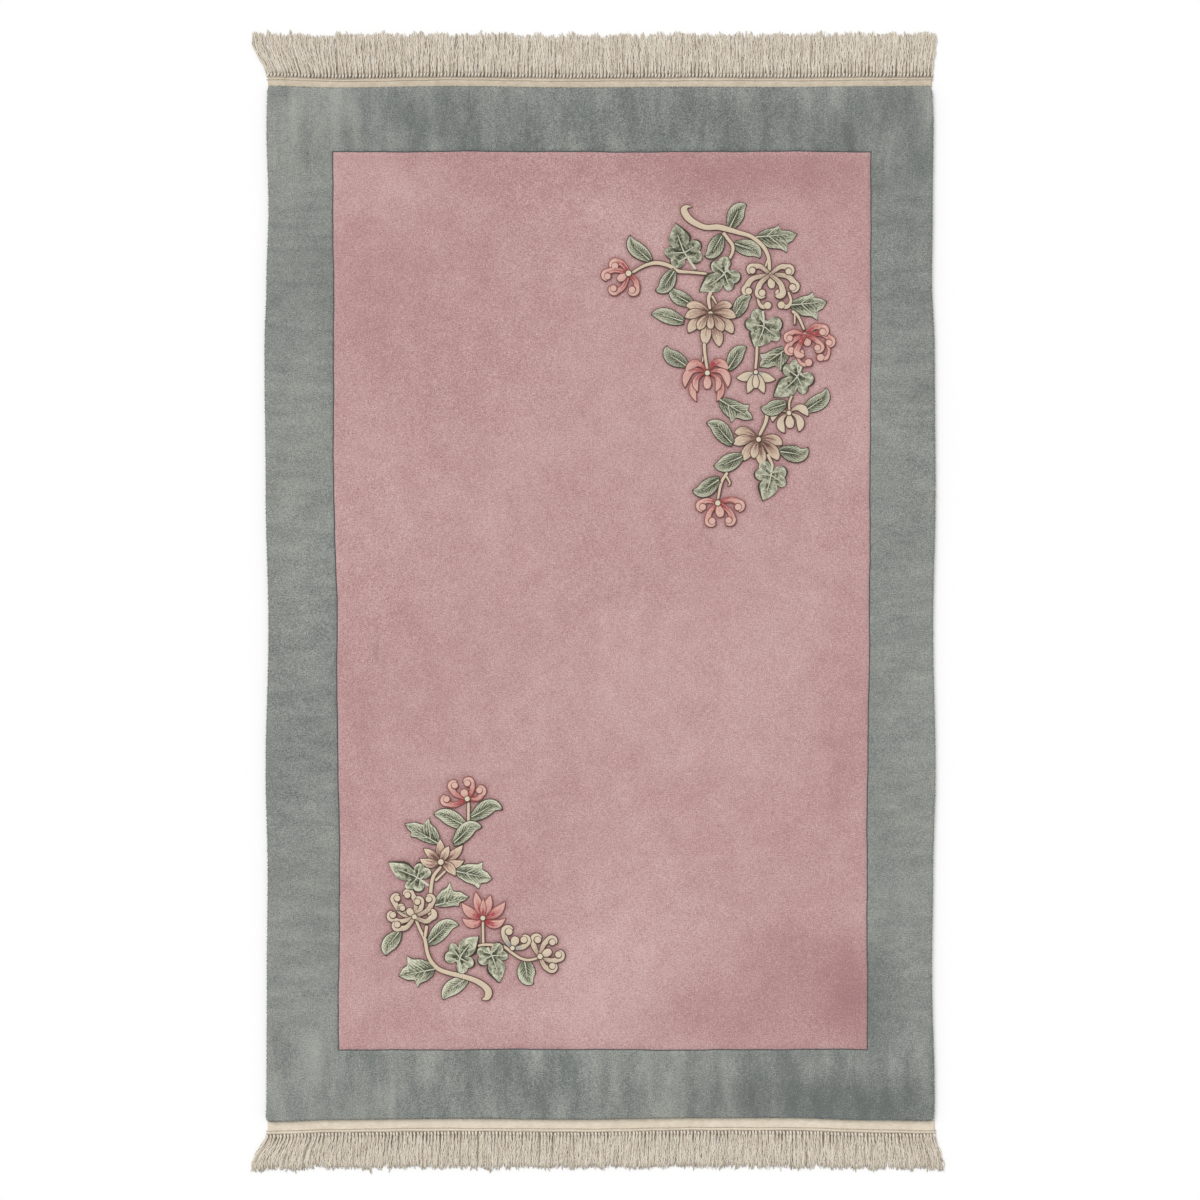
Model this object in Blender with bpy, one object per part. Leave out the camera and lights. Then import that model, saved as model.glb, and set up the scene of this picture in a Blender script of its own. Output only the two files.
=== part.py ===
"""Hand-knotted wool rug with carved flower sprays, flat-woven cotton ends and knotted fringes.

The rug lies flat, face up. +Z is up, +Y runs along the warp towards the top end, and the
origin is the middle of the rug's underside. The pile and the flat-woven ends are one cloth,
and each fringe stands 0.3 mm off it. Tables are in centimetres.
"""

import math
import random

import bmesh
import bpy
from mathutils import Vector

CM = 0.01
MM = 0.001

# Driving sizes, in metres
PILE_THICKNESS = 14 * MM
PILE_EDGE_ROUNDING = 4 * MM
PILE_CORNER_RADIUS = 10 * MM
FOUNDATION_THICKNESS = 3 * MM
FOUNDATION_INSET = 2 * MM
PILE_ROOT = 1.5 * MM
HEADING_THICKNESS = 5 * MM
HEADING_DEPTH = 11 * MM
GAP = 0.3 * MM

# The carved line between the border and the field, cut by a tube held just above the pile
CARVED_LINE_HALF_WIDTH = 3.4 * MM
CARVED_LINE_LIFT = 0.9 * MM

# How far the sprays stand above the pile round them, and how deep each pad is rooted in it
STEM_RELIEF = 1.0 * MM
LEAF_RELIEF = 1.4 * MM
FLOWER_RELIEF = 1.9 * MM
PAD_STEP = 0.005 * MM
RELIEF_ROOT = 6 * MM

# Fringe locks: a flat-based three-sided section, and its share of full size along the lock
LOCK_WIDTH = 9.5 * MM
LOCK_HEIGHT = 4 * MM
LOCK_PITCH = 12 * MM
LOCK_ROOT_INSIDE = 4 * MM
LOCK_ROOT_LIFT = 0.4 * MM
LOCK_EDGE_INSET = 0.6
LEAN_CURVE = 1.3
LOCK_TAPER = ((0.0, 0.72), (0.35, 0.9), (0.72, 1.0), (1.0, 0.3))
LOCK_SWAY = 0.9 * MM
LOCK_RAGGED = 5 * MM

# Both long sides of the pile
SIDES = (
    # y, left, right
    (129.2, -83.3, 82.9),
    (120.0, -83.5, 83.2),
    (98.5, -83.0, 83.0),
    (81.0, -83.5, 82.8),
    (63.5, -84.0, 83.5),
    (28.5, -83.7, 83.7),
    (-6.5, -83.0, 83.1),
    (-41.5, -83.7, 83.7),
    (-68.0, -83.2, 83.1),
    (-92.0, -83.4, 82.8),
    (-124.0, -83.5, 83.5),
    (-129.2, -83.7, 83.4),
)
PILE_REACH = 129.2
# Both ends of the pile
ENDS = (
    # x, top, bottom
    (-83.6, 129.45, -129.6),
    (-66.5, 129.0, -129.1),
    (-36.5, 129.38, -128.8),
    (-6.5, 129.05, -129.03),
    (23.5, 129.22, -128.65),
    (45.0, 129.15, -128.6),
    (68.5, 129.35, -129.2),
    (84.1, 129.42, -129.4),
)
# The field inside the carved line: its sides are drawn in a little towards the bottom
FIELD_TOP = 113.0
FIELD_BOTTOM = -111.6
FIELD_SIDES = (
    # y, left, right
    (113.0, -66.9, 67.7),
    (28.5, -66.7, 67.5),
    (-6.5, -65.9, 67.2),
    (-74.0, -65.3, 66.6),
    (-111.6, -65.5, 66.9),
)

# Each end's flat web and fringe. Sign +1 is the top end, and the reach is from the pile's edge
END_FINISHES = (
    # name, sign, web depth, half width left, half width right, fringe reach, seed
    ("top", 1, 2.6, 83.6, 83.3, 13.1, 11),
    ("bottom", -1, 3.0, 83.7, 84.0, 12.2, 23),
)
# How far the lock tips lean sideways, by place along each fringe
FRINGE_LEAN = {
    # x, lean
    "top": (
        (-83.6, -3.4), (-76.0, -2.3), (-64.0, -0.6), (-40.0, 0.1), (20.0, 0.0), (70.0, 0.2), (83.3, 0.6),
    ),
    "bottom": (
        (-83.7, -3.1), (-74.0, -1.9), (-62.0, -0.5), (-30.0, -0.2), (20.0, -0.4), (68.0, 0.2), (84.0, 1.7),
    ),
}

SIMPLE_LEAVES = (
    # base x, base y, tip x, tip y, width, bend
    (12.4, 85.6, 7.5, 92.0, 3.4, 0.5),
    (18.6, 83.2, 13.7, 78.3, 3.4, 0.5),
    (30.5, 92.0, 26.0, 86.8, 3.5, 0.4),
    (33.4, 90.1, 39.8, 86.3, 3.7, 0.5),
    (32.2, 93.9, 36.5, 99.7, 3.7, 0.4),
    (23.1, 74.5, 17.6, 79.2, 3.2, 0.4),
    (20.9, 70.5, 12.7, 72.2, 3.4, -0.3),
    (33.4, 71.8, 37.8, 76.7, 3.1, 0.4),
    (21.5, 59.3, 16.5, 64.4, 3.4, 0.5),
    (31.8, 58.6, 36.6, 64.0, 3.3, 0.4),
    (33.1, 39.9, 26.5, 45.0, 3.8, -0.5),
    (35.6, 36.8, 28.3, 34.5, 3.8, 0.3),
    (44.7, 37.9, 51.9, 39.0, 3.7, -0.7),
    (29.8, 31.0, 23.0, 28.3, 3.6, 0.5),
    (46.5, 49.9, 40.1, 49.1, 3.4, 0.4),
    (51.0, 47.9, 56.4, 53.9, 3.5, -0.6),
    (-33.3, -55.7, -41.7, -52.8, 3.5, -0.4),
    (-32.5, -53.4, -24.5, -51.6, 3.5, 0.8),
    (-36.9, -59.9, -29.6, -56.0, 3.5, 0.7),
    (-50.3, -81.9, -53.5, -88.0, 3.4, -0.4),
    (-43.2, -84.9, -35.4, -80.5, 3.7, 0.7),
    (-33.3, -93.4, -39.2, -99.1, 3.5, -0.4),
    (-19.1, -89.1, -16.8, -95.1, 4.1, -0.4),
)
CUT_LEAVES = (
    # base x, base y, tip x, tip y, one tooth x, its y, other tooth x, its y
    (39.1, 91.6, 49.1, 92.4, 44.6, 94.4, 46.6, 88.1),
    (47.6, 74.6, 56.6, 75.4, 53.1, 77.6, 54.2, 71.2),
    (46.9, 63.9, 39.8, 59.1, 39.9, 62.1, 44.9, 58.4),
    (29.9, 50.9, 38.1, 46.0, 37.1, 49.4, 32.9, 45.4),
    (-40.6, -60.0, -48.9, -55.1, -43.1, -53.9, -47.4, -58.1),
    (-36.1, -66.9, -27.1, -68.9, -29.5, -64.9, -30.4, -71.1),
    (-41.1, -75.4, -32.9, -73.4, -37.6, -70.1, -35.4, -75.5),
    (-40.1, -91.1, -50.4, -93.1, -48.2, -88.5, -45.8, -95.6),
)
LOBED_LEAVES = (
    # middle x, middle y, tip x, tip y, reach of the round lobes
    (20.9, 87.9, 18.8, 95.1, 4.5),
    (30.9, 82.4, 24.6, 78.0, 4.1),
    (40.8, 69.1, 38.4, 63.9, 4.6),
    (49.1, 56.6, 43.1, 51.6, 4.2),
    (42.6, 31.9, 40.5, 25.6, 4.0),
    (-45.9, -68.4, -53.1, -64.6, 3.4),
    (-35.1, -88.5, -30.4, -83.1, 3.8),
    (-27.1, -88.1, -25.2, -94.9, 3.6),
)
# Flowers: centre x, centre y, core radius, then a row for each petal
FLOWERS = (
    # petal columns: angle in degrees, reach, half width, and its end: "point", "bulb" or "curl",
    # where the reach of a curl is to the middle of its round end
    (6.9, 82.7, 1.3, (
        (151, 3.7, 1.1, "curl"), (190, 5.2, 1.05, "curl"), (212, 2.5, 0.9, "bulb"),
        (225, 5.2, 0.9, "curl"), (282, 4.0, 1.1, "curl"))),
    (42.3, 82.3, 1.8, (
        (166, 4.6, 1.0, "curl"), (217, 6.7, 1.0, "curl"), (246, 4.4, 1.0, "curl"),
        (286, 2.1, 0.95, "bulb"), (295, 4.7, 1.0, "curl"), (331, 6.4, 1.05, "curl"),
        (11, 4.7, 1.0, "curl"))),
    (27.4, 72.6, 1.8, (
        (169, 6.4, 1.0, "point"), (190, 6.6, 1.1, "point"), (222, 7.5, 1.2, "point"),
        (258, 8.0, 1.2, "point"), (286, 8.2, 1.2, "point"), (316, 7.4, 1.2, "point"),
        (351, 6.5, 1.1, "point"), (17, 5.8, 1.0, "point"))),
    (51.1, 67.3, 1.8, (
        (10, 4.5, 1.1, "curl"), (342, 6.2, 1.0, "curl"), (313, 4.4, 1.0, "curl"),
        (289, 1.8, 0.95, "bulb"), (252, 4.4, 1.0, "curl"), (227, 5.0, 1.0, "curl"),
        (192, 3.8, 1.1, "curl"))),
    (26.7, 57.7, 1.8, (
        (170, 5.0, 1.0, "point"), (5, 5.4, 1.0, "point"), (213, 6.4, 1.3, "point"),
        (325, 6.4, 1.3, "point"), (249, 7.2, 1.2, "point"), (270, 2.6, 1.0, "bulb"),
        (287, 7.2, 1.2, "point"))),
    (38.6, 57.8, 1.0, (
        (195, 5.0, 1.0, "point"), (249, 5.6, 1.0, "point"), (270, 3.9, 0.8, "point"),
        (293, 5.7, 1.0, "point"), (339, 5.3, 1.0, "point"))),
    (47.0, 47.7, 1.3, (
        (206, 3.9, 1.0, "curl"), (262, 4.9, 1.0, "point"), (275, 2.7, 1.0, "bulb"),
        (297, 5.1, 1.0, "point"), (345, 4.2, 1.0, "curl"))),
    (39.5, 41.1, 1.6, (
        (166, 6.1, 1.0, "point"), (192, 6.4, 1.1, "point"), (235, 6.5, 1.2, "point"),
        (273, 6.2, 1.1, "point"), (309, 6.6, 1.2, "point"), (345, 5.9, 1.1, "point"))),
    (29.1, 25.4, 1.3, (
        (200, 3.9, 1.1, "curl"), (345, 5.2, 1.1, "curl"), (282, 2.8, 1.1, "bulb"),
        (253, 4.8, 0.95, "curl"), (302, 5.3, 0.95, "curl"))),
    (-33.4, -48.8, 1.5, (
        (179, 5.2, 1.1, "curl"), (133, 4.7, 1.1, "curl"), (90, 4.0, 1.2, "curl"),
        (36, 3.8, 1.1, "curl"))),
    (-40.0, -64.5, 1.4, (
        (92, 5.6, 1.1, "point"), (145, 5.4, 1.1, "point"), (174, 5.3, 1.1, "point"),
        (38, 6.6, 1.2, "point"), (4, 5.7, 1.1, "point"), (314, 4.8, 1.2, "point"))),
    (-46.5, -78.2, 2.2, (
        (108, 5.1, 1.1, "curl"), (133, 5.9, 1.1, "curl"), (85, 3.5, 1.1, "curl"),
        (52, 5.1, 1.1, "curl"), (177, 5.5, 1.2, "curl"), (204, 4.4, 1.1, "curl"),
        (16, 3.7, 1.2, "curl"))),
    (-29.5, -78.4, 1.4, (
        (106, 6.5, 1.1, "point"), (72, 6.0, 1.1, "point"), (145, 6.4, 1.2, "point"),
        (35, 6.6, 1.2, "point"), (182, 5.0, 1.1, "point"), (358, 5.4, 1.1, "point"))),
    (-22.1, -86.0, 1.0, (
        (100, 4.2, 1.3, "curl"), (73, 2.1, 1.05, "bulb"), (34, 3.4, 1.1, "curl"))),
    (-15.3, -88.2, 1.2, (
        (96, 4.4, 1.1, "curl"), (44, 4.6, 1.0, "curl"), (12, 4.6, 1.1, "curl"),
        (323, 3.9, 1.1, "curl"))),
)
# Stems: half width at the start and at the end, then the places that the stem runs through
STEMS = (
    (0.45, 0.5, ((22.4, 99.4), (20.9, 98.5), (21.1, 96.9), (23.3, 95.2), (26.0, 94.3), (29.1, 94.2),
                 (34.9, 92.8), (38.1, 91.7), (40.2, 90.1), (41.5, 88.1), (42.0, 84.3))),
    (0.4, 0.4, ((30.5, 93.6), (32.9, 90.6), (33.1, 88.8), (32.0, 86.1))),
    (0.4, 0.35, ((6.9, 82.7), (9.9, 84.3), (13.9, 85.3), (18.4, 83.6), (21.5, 82.9), (26.0, 82.4))),
    (0.5, 0.4, ((27.8, 78.3), (27.2, 76.0), (27.3, 74.0))),
    (0.5, 0.4, ((25.6, 65.0), (26.1, 62.5), (26.6, 58.4))),
    (0.45, 0.4, ((39.0, 64.5), (38.8, 61.0), (38.6, 58.6))),
    (0.45, 0.4, ((47.0, 73.9), (48.5, 72.0), (51.0, 67.8))),
    (0.4, 0.4, ((47.4, 52.6), (46.8, 50.4), (47.0, 48.2))),
    (0.5, 0.5, ((41.7, 48.2), (41.2, 45.5), (39.4, 41.7))),
    (0.4, 0.4, ((41.4, 37.2), (42.8, 34.6))),
    (0.4, 0.4, ((31.4, 32.7), (30.5, 30.7), (29.2, 25.8))),
    (0.45, 0.4, ((-29.8, -98.6), (-28.1, -98.1), (-27.8, -96.6), (-28.9, -95.3), (-33.3, -93.0),
                 (-37.9, -91.6), (-40.1, -90.7), (-42.1, -89.0), (-43.4, -86.5), (-44.3, -82.9),
                 (-46.1, -79.4))),
    (0.4, 0.4, ((-42.4, -73.6), (-42.3, -70.6), (-40.0, -64.8))),
    (0.35, 0.35, ((-33.3, -56.2), (-33.3, -49.2))),
    (0.35, 0.35, ((-29.4, -79.2), (-29.3, -85.6))),
    (0.4, 0.4, ((-31.7, -85.8), (-27.1, -85.3), (-24.8, -85.5), (-21.0, -87.8), (-18.7, -88.8),
                (-15.9, -88.6))),
)

# Half width of a simple leaf along its length, as shares of its widest place
LEAF_TAPER = ((0.0, 0.25), (0.2, 0.82), (0.45, 1.0), (0.7, 0.78), (0.88, 0.36))
# Round lobes of a lobed leaf: direction from the tip's, then distance and radius as shares of their reach
LEAF_LOBES = ((64, 0.6, 0.4), (-64, 0.6, 0.4), (124, 0.6, 0.4), (-124, 0.6, 0.4))
LEAF_MIDDLE_SHARE = 0.5
TIP_HALF_WIDTH_SHARE = 0.66
# Edge of a cut leaf on either side of its tooth: shares of the tooth's place along the leaf and of its offset
CUT_LEAF_EDGE = ((0.03, 0.1), (0.35, 0.62), (0.72, 0.82), (1.0, 1.0))
CUT_LEAF_NOTCH = (0.2, 0.52)
# How wide a petal opens, as a share of its half width, and how far out that is, as a share of its reach
PETAL_OPENING = 1.7
PETAL_WIDEST = 0.62
PETAL_ROUNDNESS = {"point": 0.55, "curl": 0.3, "bulb": 0.3}

WOOLS_AND_COTTON = (
    # name, colour
    ("blue_grey_wool", (0.24, 0.26, 0.25)),
    ("rose_wool", (0.51, 0.32, 0.31)),
    ("cream_wool", (0.63, 0.52, 0.36)),
    ("sage_wool", (0.32, 0.38, 0.25)),
    ("pink_wool", (0.68, 0.38, 0.31)),
    ("cream_cotton", (0.60, 0.51, 0.38)),
)

FLAT_ANGLE = math.radians(0.05)
# How far past the carved line's middle its own faces reach, in centimetres
LINE_ALLOWANCE = 1.0
SIDE_STEPS = 30
END_STEPS = 20
CORNER_STEPS = 3
LOBED_POINTS = 28
FLOWER_POINTS = 36


def clear_scene():
    for obj in list(bpy.data.objects):
        bpy.data.objects.remove(obj)


def make_collection(name):
    collection = bpy.data.collections.new(name)
    bpy.context.scene.collection.children.link(collection)
    return collection


def make_material(name, colour):
    material = bpy.data.materials.new(name)
    material.use_nodes = True
    shader = material.node_tree.nodes["Principled BSDF"]
    shader.inputs["Base Color"].default_value = (*colour, 1.0)
    shader.inputs["Roughness"].default_value = 0.95
    shader.inputs["Metallic"].default_value = 0.0
    return material


def read_table(rows, column, place):
    """Value of a column at a place between its rows, eased so that the line stays smooth."""
    rows = sorted(rows)
    if place <= rows[0][0]:
        return rows[0][column]
    for low, high in zip(rows, rows[1:]):
        if place <= high[0]:
            share = (place - low[0]) / (high[0] - low[0])
            ease = 0.5 - 0.5 * math.cos(math.pi * share)
            return low[column] + (high[column] - low[column]) * ease
    return rows[-1][column]


def spaced(start, end, steps):
    return [start + (end - start) * step / steps for step in range(steps + 1)]


def flat_solid(name, outline, low, high):
    """A flat solid between two heights, from a filled 2D curve with welded one-piece caps."""
    curve = bpy.data.curves.new(name, "CURVE")
    curve.dimensions = "2D"
    curve.fill_mode = "BOTH"
    curve.extrude = (high - low) / 2
    spline = curve.splines.new("POLY")
    spline.points.add(len(outline) - 1)
    for point, (x, y) in zip(spline.points, outline):
        point.co = (x, y, 0, 1)
    spline.use_cyclic_u = True
    flat = bpy.data.objects.new(name, curve)
    flat.location.z = (low + high) / 2
    return made_mesh(flat, name, whole_caps=True)


def made_mesh(source, name, whole_caps=False):
    """Turns a curve object into a mesh object with its place applied and its caps welded."""
    scene = bpy.context.scene.collection
    scene.objects.link(source)
    bpy.context.view_layer.update()
    evaluated = source.evaluated_get(bpy.context.evaluated_depsgraph_get())
    mesh = bpy.data.meshes.new_from_object(evaluated)
    mesh.transform(source.matrix_world)
    bpy.data.objects.remove(source)
    shape = bmesh.new()
    shape.from_mesh(mesh)
    bmesh.ops.remove_doubles(shape, verts=shape.verts, dist=0.01 * MM)
    if whole_caps:
        bmesh.ops.dissolve_limit(shape, angle_limit=FLAT_ANGLE, verts=shape.verts, edges=shape.edges)
    bmesh.ops.recalc_face_normals(shape, faces=shape.faces)
    shape.to_mesh(mesh)
    shape.free()
    mesh.name = name
    return bpy.data.objects.new(name, mesh)


def add_boolean(target, operation, operand=None, collection=None):
    modifier = target.modifiers.new(operation.lower(), "BOOLEAN")
    modifier.operation = operation
    modifier.solver = "EXACT"
    modifier.material_mode = "TRANSFER"
    if collection:
        modifier.operand_type = "COLLECTION"
        modifier.collection = collection
    else:
        modifier.object = operand
    return modifier


def hide_guide(obj, collection):
    obj.hide_render = True
    obj.display_type = "WIRE"
    collection.objects.link(obj)


def pile_side(column, y):
    """X of the pile's left side (column 1) or right side (column 2)."""
    return read_table(SIDES, column, y) * CM


def pile_outline():
    """The knotted body seen from above, anticlockwise, with small round corners."""
    radius = PILE_CORNER_RADIUS
    reach = PILE_REACH
    outline = []
    corners = (
        # side column, end column, start angle
        (1, 2, 180),
        (2, 2, 270),
        (2, 1, 0),
        (1, 1, 90),
    )
    for index, (side, end, start) in enumerate(corners):
        x = pile_side(side, reach if end == 1 else -reach)
        y = read_table(ENDS, end, x / CM) * CM
        middle = Vector((x + (radius if side == 1 else -radius), y - (radius if end == 1 else -radius)))
        for step in range(CORNER_STEPS + 1):
            angle = math.radians(start + 90 * step / CORNER_STEPS)
            outline.append((middle.x + radius * math.cos(angle), middle.y + radius * math.sin(angle)))
        outline += straight_run(index, x, y)
    return outline


def straight_run(index, x, y):
    """Points of one edge after its corner: the bottom, right, top and left edges in turn."""
    if index in (0, 2):
        column = 2 if index == 0 else 1
        places = spaced(x, -x, END_STEPS)[1:-1]
        return [(place, read_table(ENDS, column, place / CM) * CM) for place in places]
    column = 2 if index == 1 else 1
    places = spaced(y, -y, SIDE_STEPS)[1:-1]
    return [(pile_side(column, place / CM), place) for place in places]


def round_top_edge(obj, width):
    """Rounds the rim of a flat solid's upper face."""
    shape = bmesh.new()
    shape.from_mesh(obj.data)
    top = max(vertex.co.z for vertex in shape.verts)
    rim = [
        edge
        for edge in shape.edges
        if all(vertex.co.z > top - 0.1 * MM for vertex in edge.verts)
        and any(abs(face.normal.z) < 0.5 for face in edge.link_faces)
    ]
    bmesh.ops.bevel(shape, geom=rim, offset=width, segments=2, profile=0.5, affect="EDGES")
    shape.to_mesh(obj.data)
    shape.free()


def field_line():
    """The carved line round the field, anticlockwise."""
    heights = spaced(FIELD_BOTTOM, FIELD_TOP, 10)
    right = [(read_table(FIELD_SIDES, 2, y) * CM, y * CM) for y in heights]
    left = [(read_table(FIELD_SIDES, 1, y) * CM, y * CM) for y in reversed(heights)]
    return right + left


def line_cutter():
    """A four-sided closed tube that cuts the carved line as a shallow V."""
    curve = bpy.data.curves.new("carved_line", "CURVE")
    curve.dimensions = "3D"
    curve.bevel_depth = CARVED_LINE_HALF_WIDTH
    curve.bevel_resolution = 0
    spline = curve.splines.new("POLY")
    line = field_line()
    spline.points.add(len(line) - 1)
    for point, (x, y) in zip(spline.points, line):
        point.co = (x, y, PILE_THICKNESS + CARVED_LINE_LIFT, 1)
    spline.use_cyclic_u = True
    return made_mesh(bpy.data.objects.new("carved_line", curve), "carved_line")


def turned(vector):
    return Vector((-vector.y, vector.x))


def simple_leaf_outline(row):
    """A pointed oval whose middle line bows sideways by the bend."""
    base, tip = Vector(row[0:2]), Vector(row[2:4])
    width, bend = row[4:6]
    along = tip - base
    side = turned(along.normalized())
    left, right = [], []
    for share, part in LEAF_TAPER:
        middle = base + along * share + side * bend * 4 * share * (1 - share)
        left.append(middle + side * width / 2 * part)
        right.append(middle - side * width / 2 * part)
    return right + [tip] + left[::-1]


def circle_reach(off, distance, radius):
    """How far a ray leaves a circle that lies off to one side of the ray by an angle."""
    inside = radius**2 - (distance * math.sin(off)) ** 2
    return distance * math.cos(off) + math.sqrt(inside) if inside > 0 else 0.0


def point_reach(off, reach, half_width):
    """How far a ray runs inside a diamond with one long corner."""
    if math.cos(off) <= 0:
        return 0.0
    return 1 / (math.cos(off) / reach + abs(math.sin(off)) / half_width)


def polar_outline(middle, heading, reach_at, count):
    """An outline round a middle, from its reach in each direction."""
    outline = []
    for index in range(count):
        angle = 2 * math.pi * index / count
        reach = reach_at(angle)
        outline.append(middle + reach * Vector((math.cos(heading + angle), math.sin(heading + angle))))
    return outline


def lobed_leaf_outline(row):
    """Round lobes at the sides and back, and one long pointed end."""
    middle, tip = Vector(row[0:2]), Vector(row[2:4])
    lobe_reach = row[4]
    long = (tip - middle).length

    def reach_at(angle):
        lobes = [
            circle_reach(angle - math.radians(at), far * lobe_reach, radius * lobe_reach)
            for at, far, radius in LEAF_LOBES
        ]
        point = point_reach(angle, long, lobe_reach * TIP_HALF_WIDTH_SHARE)
        return max(lobe_reach * LEAF_MIDDLE_SHARE, point, *lobes)

    heading = math.atan2(tip.y - middle.y, tip.x - middle.x)
    return polar_outline(middle, heading, reach_at, LOBED_POINTS)


def cut_leaf_outline(row):
    """A pointed leaf with one tooth on either side."""
    base, tip = Vector(row[0:2]), Vector(row[2:4])
    along = tip - base
    halves = []
    for tooth in (Vector(row[4:6]), Vector(row[6:8])):
        place = (tooth - base).dot(along) / along.length_squared
        offset = tooth - base - along * place
        edge = [base + along * place * far + offset * out for far, out in CUT_LEAF_EDGE]
        far, out = CUT_LEAF_NOTCH
        edge.append(base + along * (place + (1 - place) * far) + offset * out)
        halves.append(edge)
    outline = halves[0] + [tip] + halves[1][::-1]
    turning = sum(a.cross(b) for a, b in zip(outline, outline[1:] + outline[:1]))
    return outline if turning > 0 else outline[::-1]


def flower_outline(row):
    """The outer line of all petals together, seen from the flower's centre."""
    x, y, core, petals = row

    def reach_at(angle):
        reaches = [core]
        for at, reach, half, end in petals:
            far = reach + half if end == "curl" else reach
            off = abs((angle - math.radians(at) + math.pi) % (2 * math.pi) - math.pi)
            opening = math.atan2(PETAL_OPENING * half, PETAL_WIDEST * reach)
            reaches.append(far * max(0.0, 1 - off / opening) ** PETAL_ROUNDNESS[end])
        return max(reaches)

    return polar_outline(Vector((x, y)), 0.0, reach_at, FLOWER_POINTS)


def stem_outline(row):
    """A band along the stem's middle line, mitred at each place that it runs through."""
    start, end, places = row
    places = [Vector(place) for place in places]
    left, right = [], []
    for index, place in enumerate(places):
        before = places[max(index - 1, 0)]
        after = places[min(index + 1, len(places) - 1)]
        side = turned((after - before).normalized())
        half = start + (end - start) * index / (len(places) - 1)
        left.append(place + side * half)
        right.append(place - side * half)
    return right + left[::-1]


def end_line(sign, x):
    """Y of the pile's edge at one end."""
    return read_table(ENDS, 1 if sign > 0 else 2, x / CM) * CM


def band_outline(sign, left, right, near, far):
    """A band that follows the pile's end, between two distances from it."""
    places = spaced(-left * CM, right * CM, END_STEPS)
    inner = [(x, end_line(sign, x) + sign * near) for x in places]
    outer = [(x, end_line(sign, x) + sign * far) for x in reversed(places)]
    return inner + outer


def add_spray_pads(joined, materials):
    """A low pad for each stem, leaf and flower of the two sprays, rooted in the pile.

    Each pad is a hair higher, and a hair deeper, than the one before it, so no two faces
    lie in one plane.
    """
    groups = (
        # name, rows, outline, height above the pile, wool
        ("stem", STEMS, stem_outline, STEM_RELIEF, "cream_wool"),
        ("simple_leaf", SIMPLE_LEAVES, simple_leaf_outline, LEAF_RELIEF, "sage_wool"),
        ("cut_leaf", CUT_LEAVES, cut_leaf_outline, LEAF_RELIEF, "sage_wool"),
        ("lobed_leaf", LOBED_LEAVES, lobed_leaf_outline, LEAF_RELIEF, "sage_wool"),
        ("flower", FLOWERS, flower_outline, FLOWER_RELIEF, "pink_wool"),
    )
    count = 0
    for name, rows, outline_of, relief, wool in groups:
        for row in rows:
            outline = [(point.x * CM, point.y * CM) for point in outline_of(row)]
            low = PILE_THICKNESS - RELIEF_ROOT - count * PAD_STEP
            high = PILE_THICKNESS + relief + count * PAD_STEP
            pad = flat_solid(f"{name}_{count}", outline, low, high)
            pad.data.materials.append(materials[wool])
            hide_guide(pad, joined)
            count += 1


def foundation_outline():
    """The flat-woven ground, a little narrower than the pile and carried on as a web at each end."""
    heights = spaced(-1.0, 1.0, SIDE_STEPS)
    sides = {}
    for column, inward in ((1, 1), (2, -1)):
        sides[column] = [
            (pile_side(column, place * PILE_REACH) + inward * FOUNDATION_INSET, place * PILE_REACH * CM)
            for place in heights
        ]
    ends = {}
    for name, sign, depth, left, right, _, _ in END_FINISHES:
        places = spaced(-left * CM + FOUNDATION_INSET, right * CM - FOUNDATION_INSET, END_STEPS)
        ends[name] = [(x, end_line(sign, x) + sign * depth * CM) for x in places]
    return ends["bottom"] + sides[2][1:-1] + ends["top"][::-1] + sides[1][-2:0:-1]


def add_foundation(joined, materials):
    foundation = flat_solid("foundation", foundation_outline(), 0.0, FOUNDATION_THICKNESS)
    foundation.data.materials.append(materials["cream_cotton"])
    hide_guide(foundation, joined)


def cut_carved_line(body, cutters):
    """Cuts the carved line, and leaves the field inside it as faces of its own."""
    cutter = line_cutter()
    hide_guide(cutter, cutters)
    groove = add_boolean(body, "DIFFERENCE", operand=cutter)
    bpy.context.view_layer.update()
    evaluated = body.evaluated_get(bpy.context.evaluated_depsgraph_get())
    body.data = bpy.data.meshes.new_from_object(evaluated)
    body.modifiers.remove(groove)


def in_field(point):
    """Whether a point lies within the carved line, or on it."""
    x, y = point.x / CM, point.y / CM
    left, right = (read_table(FIELD_SIDES, column, y) for column in (1, 2))
    across = left - LINE_ALLOWANCE < x < right + LINE_ALLOWANCE
    return across and FIELD_BOTTOM - LINE_ALLOWANCE < y < FIELD_TOP + LINE_ALLOWANCE


def colour_field(body, wool):
    """Gives the faces inside the carved line the field's own wool."""
    body.data.materials.append(wool)
    for face in body.data.polygons:
        corners = [body.data.vertices[index].co for index in face.vertices]
        if all(corner.z > PILE_THICKNESS / 2 and in_field(corner) for corner in corners):
            face.material_index = len(body.data.materials) - 1


def make_rug_body(parts, cutters, joined, materials):
    """The whole cloth: pile with its carved line and raised sprays, and both flat-woven ends."""
    body = flat_solid("rug_body", pile_outline(), PILE_ROOT, PILE_THICKNESS)
    round_top_edge(body, PILE_EDGE_ROUNDING)
    body.data.materials.append(materials["blue_grey_wool"])
    parts.objects.link(body)
    cut_carved_line(body, cutters)
    colour_field(body, materials["rose_wool"])
    add_foundation(joined, materials)
    add_spray_pads(joined, materials)
    add_boolean(body, "UNION", collection=joined)


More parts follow.
